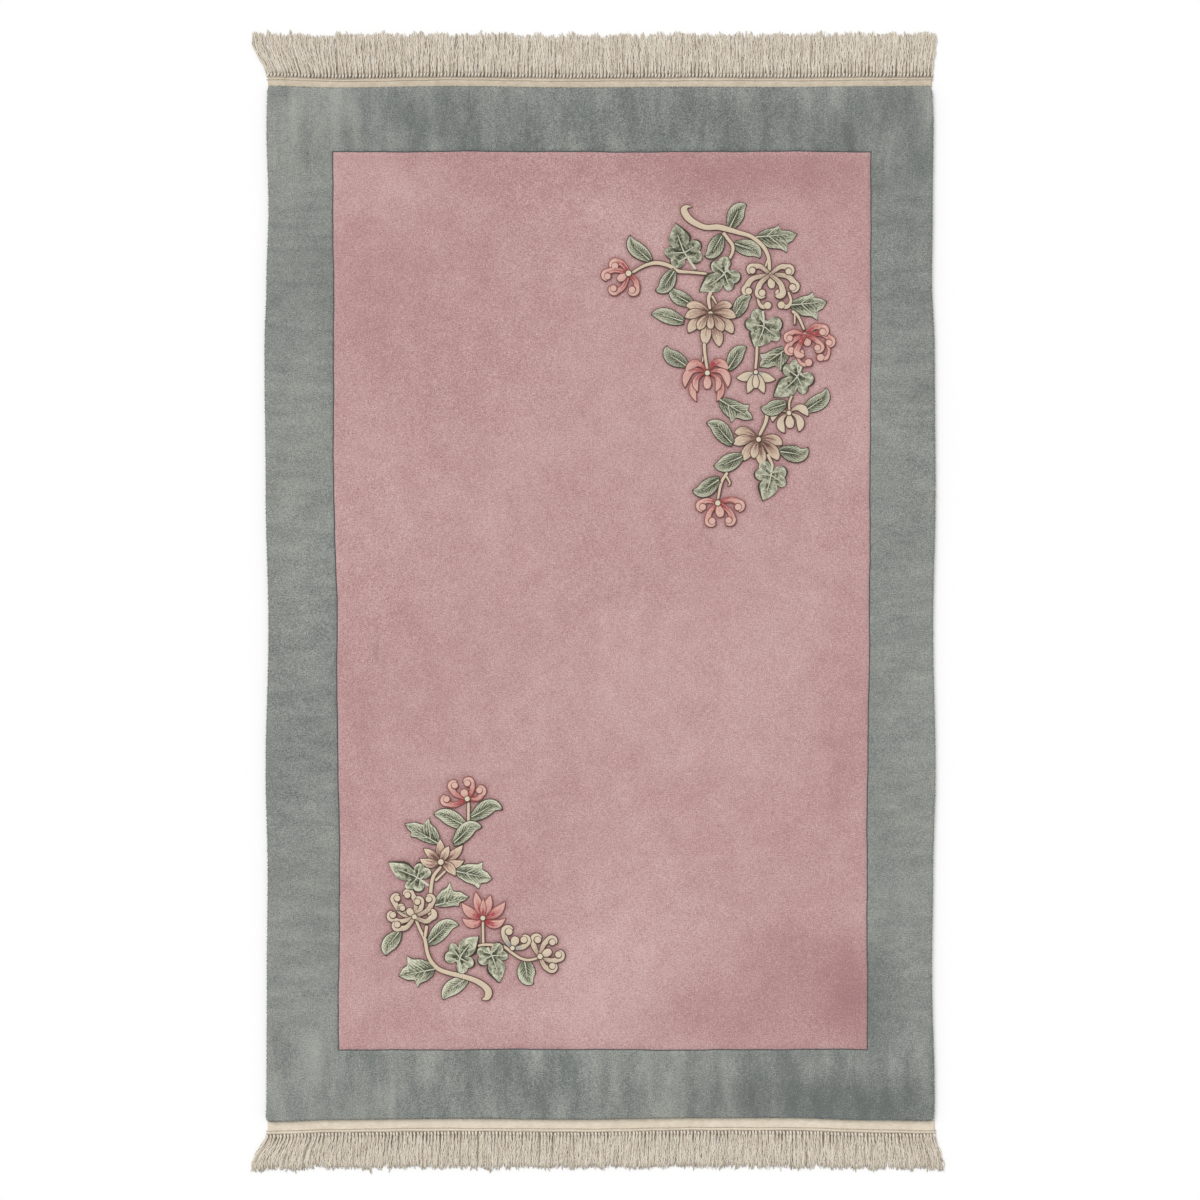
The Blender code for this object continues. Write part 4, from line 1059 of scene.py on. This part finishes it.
        ridge = middle + (tip - middle) * 0.6 + left_of(axis) * 0.05 * length
        self.vein((foot, middle, ridge), LOBED_MIDRIB)
        for turn, out, radius in LEAF_LOBES:
            end = middle + (out + 0.3 * radius) * lobe * heading(toward + turn)
            root = middle + (foot - middle) * (0.05 if abs(turn) < 100 else 0.3)
            self.vein((root, root + (end - root) * 0.76), LOBE_VEIN)

    def open_petal(self, dye, centre, row, width):
        """A petal that bows from the flower's middle, its half width given as shares of its widest."""
        angle, reach, half_width, bow = row
        line = bowed_line(centre, centre + heading(angle) * reach * CM, bow, RINGS["petal"])
        half = np.maximum(width * half_width * FULLER["petal"] * CM, SLIMMEST)
        along = np.linspace(0, ROSE_BLUSH if dye == "rose" else 1, RINGS["petal"])
        self.strip(dye, line, half, half, RELIEF["petal"], along)

    def petal(self, dye, centre, row):
        """Opens from a narrow root to its widest place at two thirds and comes to a short point."""
        share = np.linspace(0, 1, RINGS["petal"])
        self.open_petal(dye, centre, row, (0.2 + 2.2 * share**1.3) * (1 - share**3) ** 0.95 / 1.1)

    def blade(self, dye, centre, row):
        """Widest half way along, and runs to a long point: a power of the way out times the way left."""
        share = np.linspace(0, 1, RINGS["petal"])
        self.open_petal(dye, centre, row, (0.12 + 2.0 * share**1.1) * (1 - share) / 0.53)

    def drop(self, dye, centre, row):
        """A rounded drop: narrow at the flower's middle, and a half ellipse at its far end."""
        angle, reach, half_width = row
        line = bowed_line(centre, centre + heading(angle) * reach * CM, 0.0, RINGS["drop"])
        share = np.linspace(0, 1, RINGS["drop"])
        widest = 0.62
        neck = 0.36 + 0.64 * np.sin(share / widest * math.pi / 2) ** 2
        round_end = np.sqrt(np.clip(1 - ((share - widest) / (1 - widest)) ** 2, 0, 1))
        half = np.where(share < widest, neck, round_end)
        half = np.maximum(half * half_width * FULLER["drop"] * CM, POINT_HALF)
        self.strip(dye, line, half, half, RELIEF["petal"] + DROP_LIFT, 0.3 + 0.7 * share)

    def curl(self, dye, centre, row):
        """A scroll petal: a band sweeps out to one side, winds round its ball in a closing spiral and
        ends in it. The spiral's radius falls evenly with its turn."""
        angle, reach, radius, bow = row
        unit, radius = heading(angle), radius * CM
        side = left_of(unit) * np.sign(bow)
        along, wide = unit * reach * CM, abs(bow) * reach * CM * side
        turns = np.radians(CURL_TURNS)[:, None]
        winding = radius * np.linspace(*CURL_WINDING, len(turns))[:, None]
        spiral = centre + along + winding * (side * np.cos(turns) + unit * np.sin(turns))
        sweep = (centre, centre + 0.3 * along + 0.5 * wide, centre + 0.65 * along + 0.85 * wide)
        line = flowing(np.vstack([*sweep, spiral]), RINGS["curl"])
        half = radius * between(CURL_BAND, np.linspace(0, 1, RINGS["curl"]))
        self.strip(dye, line, half, half, RELIEF["petal"], np.linspace(0.0, 1.5, RINGS["curl"]))
        joined = unit * 0.8 - side * 0.6
        self.ball(dye, centre + along, FULLER["curl"] * radius, RELIEF["petal"] + BALL_LIFT, joined)

    def build(self):
        """Makes every piece of the spray, and returns the places that they cover."""
        for kind, piece in self.pieces.items():
            piece.build(FINISHES[kind], "wool_pile")
        return np.vstack(self.covered)


def make_spray(name):
    """All of one spray: what is made later lies a little over what was made before."""
    spray = Spray(name)
    for places in STEMS[name]:
        spray.stem("stem", places)
    for row in SIMPLE_LEAVES[name]:
        spray.simple_leaf(row)
    for row in CUT_LEAVES[name]:
        spray.cut_leaf(row)
    for row in LOBED_LEAVES[name]:
        spray.lobed_leaf(row)
    for places in ROSE_TENDRILS[name]:
        spray.stem("rose", places)
    for dye, form, x, y, radius, petals in FLOWERS[name]:
        spray.layer = 0
        centre = np.array((x, y)) * CM
        for row in petals:
            make_petal = getattr(spray, form) if len(row) > 3 else spray.drop
            make_petal(dye, centre, row)
        spray.ball("knot", centre, radius * FULLER["knot"] * CM, RELIEF["knot"])
    return spray.build()


def halo_at(x, y, covered):
    """One on the motifs, easing to nothing beside them, where the carved hollow ends.

    The places that motifs cover are marked in square cells, and the marks are blurred both ways with
    a bell curve. The value at a place is weighed between its four nearest cells.
    """
    low = np.array((x.min(), y.min())) - 0.05
    size = np.ceil((np.array((x.max(), y.max())) + 0.05 - low) / HALO_CELL).astype(int)
    cells = ((covered - low) / HALO_CELL).astype(int)
    marks = np.zeros(size)
    marks[cells[:, 0], cells[:, 1]] = 1.0
    for count in size:
        apart = np.subtract.outer(np.arange(count), np.arange(count)) * HALO_CELL
        bell = np.exp(-0.5 * (apart / HALO_BLUR) ** 2)
        marks = (bell / bell.sum(axis=1, keepdims=True) @ marks).T
    place = np.stack([x - low[0], y - low[1]]) / HALO_CELL - 0.5
    cell = place.astype(int)
    part = place - cell
    near = [marks[cell[0] + i, cell[1] + j] for i in (0, 1) for j in (0, 1)]
    edge = near[0] * (1 - part[1]) + near[1] * part[1]
    far = near[2] * (1 - part[1]) + near[3] * part[1]
    return np.clip(HALO_GAIN * (edge * (1 - part[0]) + far * part[0]), 0, 1)


def lines_between(low, high, step, fine_spans=()):
    """Places from low to high, a step apart, and the motifs' fine step apart inside the given spans."""
    coarse = np.linspace(low, high, max(2, int(round((high - low) / step)) + 1))
    fine = []
    for start, end in fine_spans:
        coarse = coarse[(coarse < start) | (coarse > end)]
        fine.append(np.linspace(start, end, int((end - start) / MOTIF_STEP) + 1))
    return np.unique(np.round(np.concatenate([coarse] + fine), 6))


def grid_lines(edges, motif_spans):
    """Places of the grid's lines one way, closer in the rim's rounding, the carved line and the motifs."""
    low, line_low, line_high, high = edges
    rounding = PILE_ROUNDING * (1 - np.cos(np.linspace(0, math.pi / 2, ROUNDING_LINES)))
    groove = np.array((-CARVED_LINE_SLOPE, -CARVED_LINE_HALF, 0.0, CARVED_LINE_HALF, CARVED_LINE_SLOPE))
    return np.concatenate([
        low + rounding,
        lines_between(low + GRID_GAP, line_low - GRID_GAP, BORDER_STEP),
        line_low + groove,
        lines_between(line_low + GRID_GAP, line_high - GRID_GAP, FIELD_STEP, motif_spans),
        line_high + groove,
        lines_between(line_high + GRID_GAP, high - GRID_GAP, BORDER_STEP),
        (high - rounding)[::-1],
    ])


def carried(values, lines, actual):
    """Moves values so that the straight lines land on the actual ones, evenly in between."""
    moved = np.empty(values.shape)
    for low in range(len(lines) - 1):
        inside = (values >= lines[low]) & (values <= lines[low + 1])
        share = (values[inside] - lines[low]) / (lines[low + 1] - lines[low])
        start, end = actual[low][inside], actual[low + 1][inside]
        moved[inside] = start + (end - start) * share
    return moved


def wavering(places, phase):
    """A hand's small wander along a carved line: three sine waves, a millimetre or so."""
    slow = 0.8 * np.sin(9.0 * places + phase) + 0.6 * np.sin(23.0 * places + 2.3 * phase)
    return (slow + 0.35 * np.sin(61.0 * places + 0.7 * phase)) * MM


def fuzz(places, seed):
    """The rim's unevenness: six sine waves of random pitch, phase and height, lower as they quicken."""
    draws = np.random.default_rng(seed).normal(0, 1, (6, 3))
    waves = [
        np.sin(places * 40 * (1 + abs(pitch)) * (number + 1) + 6 * phase) * height / (number + 1)
        for number, (pitch, phase, height) in enumerate(draws)]
    return np.sum(waves, axis=0) * FUZZ


def round_corners(x, y, edge_x, edge_y):
    """Pulls the grid's corners in to quarter circles, in place. Returns each point's way from the rim."""
    dx = np.clip(CORNER_RADIUS - edge_x, 0, None)
    dy = np.clip(CORNER_RADIUS - edge_y, 0, None)
    corner = (dx > 0) & (dy > 0)
    pull = np.where(corner, np.maximum(dx, dy) / np.maximum(np.hypot(dx, dy), 1e-9), 1.0)
    x += np.where(corner, np.sign(x) * dx * (pull - 1), 0)
    y += np.where(corner, np.sign(y) * dy * (pull - 1), 0)
    return np.where(corner, CORNER_RADIUS - np.maximum(dx, dy), np.minimum(edge_x, edge_y))


def off_carved_line(x, y):
    """How far each place of the straight grid is from the line round the field, or a metre if it is
    beyond the line's ends."""
    off = np.full(x.shape, 1.0)
    for along, ends, across, lines in ((y, GRID_Y, x, GRID_X), (x, GRID_X, y, GRID_Y)):
        within = (along > ends[1] - 1 * MM) & (along < ends[2] + 1 * MM)
        for line in lines[1:3]:
            off = np.where(within, np.minimum(off, np.abs(across - line)), off)
    return off


def pile_shade(x, y):
    """Sum of soft oval patches, each falling off as a bell curve."""
    total = np.zeros(x.shape)
    for px, py, rx, ry, strength in PATCHES:
        total += strength * np.exp(-(((x / CM - px) / rx) ** 2 + ((y / CM - py) / ry) ** 2))
    return total


def closed_sheet(points):
    """Closes a grid of points with a wall from its rim down to the floor, and one face below.

    Returns the points and three arrays of faces: the grid's, the wall's and the one below.
    """
    rows, columns = points.shape[:2]
    index = np.arange(rows * columns).reshape(rows, columns)
    quads = np.stack([index[:-1, :-1], index[:-1, 1:], index[1:, 1:], index[1:, :-1]], axis=-1)
    loop = np.concatenate([index[0, :-1], index[:-1, -1], index[-1, :0:-1], index[:0:-1, 0]])
    points = points.reshape(-1, 3)
    rim = points[loop]
    inward = -rim[:, :2] / np.array((GRID_X[3], GRID_Y[3]))
    inward = np.where(np.abs(inward) > 0.96, np.sign(inward), 0) * FOUNDATION_INSET
    walls = []
    for share, level in WALL_RINGS:
        ring = rim.copy()
        ring[:, :2] += inward * share
        ring[:, 2] = level
        walls.append(ring)
    numbers = [len(points) + np.arange(len(loop)) + step * len(loop) for step in range(len(walls))]
    rings = np.vstack([loop] + numbers)
    after = np.roll(rings, -1, axis=1)
    wall_quads = np.stack([rings[:-1], rings[1:], after[1:], after[:-1]], axis=-1)
    below = rings[-1][None, ::-1]
    return np.vstack([points] + walls), [quads.reshape(-1, 4), wall_quads.reshape(-1, 4), below]


def make_pile(covered):
    """The cut pile as one closed sheet: a grid of lines that follow the rug's edge and the field's line.

    Each grid line keeps its share of the way between the rug's edge and the carved line, or between
    the two sides of the field. The rim turns down in a quarter round and a wall joins it to the floor.
    """
    x_nominal, y_nominal = np.meshgrid(grid_lines(GRID_X, MOTIF_SPANS_X), grid_lines(GRID_Y, MOTIF_SPANS_Y))
    y_cm, x_cm = y_nominal / CM, x_nominal / CM
    x = carried(x_nominal, GRID_X, (
        eased(SIDES, 1, y_cm) * CM, eased(FIELD_SIDES, 1, y_cm) * CM + wavering(y_nominal, 1),
        eased(FIELD_SIDES, 2, y_cm) * CM + wavering(y_nominal, 2), eased(SIDES, 2, y_cm) * CM))
    y = carried(y_nominal, GRID_Y, (
        eased(ENDS, 2, x_cm) * CM, GRID_Y[1] + wavering(x_nominal, 3),
        GRID_Y[2] + wavering(x_nominal, 4), eased(ENDS, 1, x_cm) * CM))
    edge_x = np.minimum(x_nominal - GRID_X[0], GRID_X[3] - x_nominal)
    edge_y = np.minimum(y_nominal - GRID_Y[0], GRID_Y[3] - y_nominal)
    edge = round_corners(x, y, edge_x, edge_y)
    rim_share = np.clip(1 - np.minimum(edge_x, edge_y) / FUZZ_REACH, 0, 1)
    x += np.where(edge_x < edge_y, fuzz(y, 3), 0) * rim_share
    y += np.where(edge_y < edge_x, fuzz(x, 4), 0) * rim_share

    drop = np.clip(1 - edge / PILE_ROUNDING, 0, 1)
    rounded = PILE_ROUNDING * (1 - np.sqrt(1 - drop**2))
    off_line = off_carved_line(x_nominal, y_nominal)
    carved = CARVED_LINE_DEPTH * np.clip(1 - off_line / CARVED_LINE_SLOPE, 0, 1) ** 0.8
    halo = halo_at(x, y, covered)
    lumps = np.random.default_rng(LUMP_SEED).normal(0, LUMPS, x.shape)
    height = PILE_TOP + swell(x, y) - rounded - carved - HALO_DEPTH * halo + lumps
    points, faces = closed_sheet(np.stack([x, y, height], axis=-1))
    mesh = mesh_from_arrays("rug_pile", points, faces)

    for name in ("border", "field", "line", "back"):
        mesh.materials.append(FINISHES[name])
    middle_x = (x_nominal[:-1, :-1] + x_nominal[1:, 1:]) / 2
    middle_y = (y_nominal[:-1, :-1] + y_nominal[1:, 1:]) / 2
    inside = (middle_x > GRID_X[1]) & (middle_x < GRID_X[2])
    inside = inside & (middle_y > GRID_Y[1]) & (middle_y < GRID_Y[2])
    corners_off = [off_line[:-1, :-1], off_line[1:, :-1], off_line[:-1, 1:], off_line[1:, 1:]]
    on_line = np.max(corners_off, axis=0) < CARVED_LINE_HALF + 0.1 * MM
    slots = np.where(on_line, 2, np.where(inside, 1, 0)).reshape(-1)
    slots = np.concatenate([slots, np.zeros(len(faces[1])), [3]])
    mesh.polygons.foreach_set("material_index", slots.astype(np.int32))
    mesh.polygons[len(slots) - 1].use_smooth = False
    wall_values = np.zeros(len(points) - x.size)
    lean = np.clip((np.abs(y) - LEAN_FROM) / LEAN_OVER, 0, 1)
    # The hollow's mask sinks the pile and also carries its painted shade round the motifs.
    for name, values in (("halo", halo), ("shade", pile_shade(x, y)), ("lean", lean)):
        keep_values(mesh, name, np.concatenate([values.reshape(-1), wall_values]))
    pile = ride("rug_pile", mesh)
    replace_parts(pile, "rug_body")
    return pile


def end_line(sign, x):
    """Y of the pile's edge at one end, in metres."""
    return eased(ENDS, 1 if sign > 0 else 2, x / CM) * CM


def make_rim_tufts():
    """Cut ends of knots that stand out of the pile's wall: slim cones in three rows round the rug."""
    draw = np.random.default_rng(TUFT_SEED)
    runs = []
    for level, inset in TUFT_ROWS:
        for column, outward in ((1, -1), (2, 1)):
            y = np.arange(-1.284, 1.284, TUFT_SPACING)
            y = y + draw.uniform(-0.4, 0.4, len(y)) * TUFT_SPACING
            x = eased(SIDES, column, y / CM) * CM - outward * inset
            runs.append((x, y, np.full(len(y), outward), np.zeros(len(y)), np.full(len(y), level)))
        for column, outward in ((1, 1), (2, -1)):
            x = np.arange(-0.825, 0.825, TUFT_SPACING)
            x = x + draw.uniform(-0.4, 0.4, len(x)) * TUFT_SPACING
            y = eased(ENDS, column, x / CM) * CM - outward * inset
            runs.append((x, y, np.zeros(len(x)), np.full(len(x), outward), np.full(len(x), level)))
    x, y, out_x, out_y, level = (np.concatenate(column) for column in zip(*runs))
    count = len(x)
    root = np.stack([x, y, level], axis=-1)
    rise = (level - 0.004) / 0.012
    direction = united(np.stack([
        out_x + draw.normal(0, 0.35, count), out_y + draw.normal(0, 0.35, count),
        rise + draw.normal(0, 0.2, count)], axis=-1))
    length = draw.uniform(*TUFT_LENGTH, count)
    path = root[:, None] + direction[:, None] * (TUFT_PLACES * length[:, None])[..., None]
    tufts = tubes(path, np.broadcast_to(TUFT_RADII, (count, len(TUFT_RADII))), 4)
    piece = Piece("rim_tufts")
    piece.add(tufts, shade=0.0, halo=0.0, lean=0.5)
    piece.build(FINISHES["border"], "wool_pile")


def tubes(paths, radii, around, twist=0.0, lobes=0.0):
    """Round tubes along many paths at once, shaped (count, rings, 3), each ring at right angles to it.

    A point is the path plus the radius times the cosine to its left and the sine upwards. With
    lobes, the radius swells twice round the ring, and the swelling turns with the twist.
    """
    forward = united(np.gradient(paths, axis=1))
    side = united(np.cross((0.0, 0.0, 1.0), forward))
    rise = np.cross(forward, side)
    angles = -np.linspace(0, 2 * math.pi, around, endpoint=False)
    turn = np.arange(paths.shape[1]) * twist
    swelling = 1 + lobes * np.cos(2 * angles[None, :] - turn[:, None])
    ring = radii[..., None] * swelling[None]
    out = side[:, :, None] * np.cos(angles)[:, None] + rise[:, :, None] * np.sin(angles)[:, None]
    return paths[:, :, None] + out * ring[..., None]


def make_web(name):
    """The flat-woven end: a thin closed slab, a rounded section carried along the pile's edge."""
    sign, depth, left, right = END_FINISHES[name][:4]
    x = np.linspace(-(left - WEB_END_INSET) * CM, (right - WEB_END_INSET) * CM, WEB_RINGS)
    near = end_line(sign, x) + sign * 0.4 * MM
    far = end_line(sign, x) + sign * (depth * CM + 0.5 * MM * np.sin(23 * x))
    across = np.linspace(0, 1, WEB_ACROSS)
    ribs = 0.12 * MM * np.cos(across * 2 * math.pi * WEB_RIBS)
    level = WEB_TOP + ribs - 0.5 * MM * across**6 + 0.15 * MM * np.sin(31 * x)[:, None]
    top = np.stack([
        np.broadcast_to(x[:, None], level.shape), near[:, None] + (far - near)[:, None] * across, level],
        axis=-1)
    under = top[:, [-1, 0]]
    under[..., 2] = 0.2 * MM
    rings = np.concatenate([top, under], axis=1)
    if sign < 0:
        rings = rings[:, ::-1]
    piece = Piece(f"web_{name}")
    piece.add(rings)
    web = piece.build(FINISHES[f"web_{name}"], "cotton_warp")
    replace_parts(web, "rug_body")


def make_heading(name, draw):
    """Two twined cords and a row of warp knots past the web. Returns the knots' places."""
    sign, depth, left, right, _, cords, _ = END_FINISHES[name]
    piece = Piece(f"fringe_heading_{name}")
    x = np.linspace(-left * CM, right * CM, CORD_RINGS)
    for offset in cords:
        wander = 0.5 * MM * np.sin(17 * x + offset * 40) + 0.3 * MM * np.sin(61 * x)
        y = end_line(sign, x) + sign * ((depth + offset) * CM) + wander
        path = np.stack([x, y, np.full(len(x), CORD_HEIGHT)], axis=-1)[None]
        piece.add(tubes(path, np.full((1, len(x)), CORD_RADIUS), 8, 1.15, 0.25), tone=0.3)

    knot_x = np.linspace(-(left - 0.4) * CM, (right - 0.4) * CM, KNOTS) + draw.normal(0, 0.6 * MM, KNOTS)
    knot_y = end_line(sign, knot_x) + sign * ((depth + 0.45) * CM + draw.normal(0, 0.6 * MM, KNOTS))
    along, slant, height, girth = KNOT_FORM.T
    path = np.stack([
        knot_x[:, None] + slant * KNOT_SLANT, knot_y[:, None] + sign * along * KNOT_LENGTH,
        np.broadcast_to(height * MM, (KNOTS, len(height)))], axis=-1)
    girth = girth * draw.uniform(*KNOT_GIRTH, (KNOTS, 1)) * MM
    piece.add(tubes(path, girth, 8, 0.9, 0.15), tone=draw.uniform(0.48, 0.72, (KNOTS, 1, 1)))
    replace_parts(piece.build(FINISHES["yarn"], "cotton_warp"), f"fringe_{name}")
    return knot_x, knot_y


def make_yarns(name, draw, knot_x, knot_y):
    """The yarns that lie on the floor: a deep layer from the web's edge, and two from the knots.

    A yarn runs straight out, leans and fans with a power of the way along, and sways in two sine waves.
    """
    sign, depth, _, _, reach = END_FINISHES[name][:5]
    piece = Piece(f"fringe_yarns_{name}")
    ragged = draw.normal(0, 3.0 * MM, KNOTS)
    share = np.linspace(0, 1, YARN_RINGS)
    for total, spread, root_z, tip_z, thick, shade in YARN_LAYERS:
        deep = spread == 0
        knot = np.arange(total) * KNOTS // total
        root_x = knot_x[knot] + draw.normal(0, spread * MM, total)
        if deep:
            root_x = np.linspace(knot_x[0], knot_x[-1], total) + draw.normal(0, 0.4 * MM, total)
        root_y = knot_y[knot] + sign * draw.uniform(-1.0, 3.0, total) * MM
        if deep:
            root_y = end_line(sign, root_x) + sign * (depth * CM + 1 * MM)
        uneven = draw.normal(0, 3.2 * MM, total) + ragged[knot]
        length = reach * CM - (root_y - end_line(sign, root_x)) * sign + uneven
        lean = eased(FRINGE_LEAN[name], 1, root_x / CM)[:, None] * CM
        lean_share = np.sin(np.clip(share * 1.15, 0, 1) * math.pi / 2) ** 1.5
        fan = draw.normal(0, (1.0 if deep else 4.6) * MM, total)[:, None]
        phase = draw.uniform(0, 2 * math.pi, (total, 1))
        slow = draw.uniform(0.6, 2.8, (total, 1)) * MM
        quick = draw.uniform(0.9, 2.1, (total, 1)) * MM
        sway = slow * np.sin(draw.uniform(3, 8, (total, 1)) * share + phase) * share
        quick_wave = np.sin(draw.uniform(14, 30, (total, 1)) * share + 2 * phase)
        sway = sway + quick * quick_wave * np.minimum(4 * share, 1)
        rise = root_z + (tip_z - root_z) * share + 0.35 * np.sin(9 * share + phase)
        path = np.stack([
            root_x[:, None] + lean * lean_share + fan * share**0.8 + sway,
            root_y[:, None] + sign * length[:, None] * share,
            np.maximum(rise, 1.08 * thick) * MM], axis=-1)
        radii = draw.uniform(0.86, 1.08, (total, 1)) * thick * MM * between(YARN_TAPER, share)
        # The deeper layers' lower tone and a deep yarn's darker root are painted shade among the yarns.
        tone = draw.normal(shade, 0.08, (total, 1, 1))
        if deep:
            tone = tone + between(DEEP_YARN_PAINTED_SHADE, share)[:, None]
        else:
            tone = tone + 0.15 * np.sin(9 * share + 3 * phase)[..., None]
        piece.add(tubes(path, radii, 4), tone=tone)
    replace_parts(piece.build(FINISHES["yarn"], "cotton_warp"), f"fringe_{name}")


def make_fringe(name):
    """One end's fringe, drawn from its own seed."""
    draw = np.random.default_rng(END_FINISHES[name][6])
    knot_x, knot_y = make_heading(name, draw)
    make_yarns(name, draw, knot_x, knot_y)


def make_floor():
    """A plain pale floor, wider than any view of the rug."""
    finish = Finish("pale_floor", 0.9)
    colour = finish.ramp(finish.noise(0.8, 2.0), (0.0, (0.96, 0.96, 0.96, 1)), (1.0, (0.98, 0.98, 0.98, 1)))
    material = finish.finish(colour, finish.noise(2.0), 0.1 * MM)
    bpy.ops.mesh.primitive_plane_add(size=FLOOR_SIZE)
    floor = bpy.context.object
    floor.name = "floor"
    floor.data.materials.append(material)


def make_camera():
    """Straight above the rug, at the distance where the frame is as wide as the photograph's."""
    data = bpy.data.cameras.new("camera")
    data.lens = CAMERA_LENS
    data.sensor_width = CAMERA_SENSOR
    distance = FRAME_WIDTH / 2 / (CAMERA_SENSOR / 2 / CAMERA_LENS)
    camera = bpy.data.objects.new("camera", data)
    camera.location = (*FRAME_MIDDLE, PILE_TOP + distance)
    bpy.context.scene.collection.objects.link(camera)
    bpy.context.scene.camera = camera


def light_scene():
    """An even pale sky, and one wide soft light from the top left, as from a big diffuser."""
    world = bpy.data.worlds.new("studio")
    bpy.context.scene.world = world
    world.use_nodes = True
    sky = world.node_tree.nodes["Background"]
    sky.inputs["Color"].default_value = (1.0, 1.0, 1.0, 1.0)
    sky.inputs["Strength"].default_value = SKY_STRENGTH
    data = bpy.data.lights.new("diffuser", "SUN")
    data.energy = DIFFUSER_ENERGY
    data.angle = DIFFUSER_SPREAD
    light = bpy.data.objects.new("diffuser", data)
    light.rotation_euler = DIFFUSER_TURN
    bpy.context.scene.collection.objects.link(light)


def main():
    """The studio, then the rug from its motifs outwards."""
    bpy.context.scene.view_settings.view_transform = "Standard"
    make_camera()
    light_scene()
    make_floor()
    covered = np.vstack([make_spray(name) for name in ("upper", "lower")])
    pile = make_pile(covered)
    make_rim_tufts()
    for name in END_FINISHES:
        make_web(name)
    for name in END_FINISHES:
        make_fringe(name)


main()
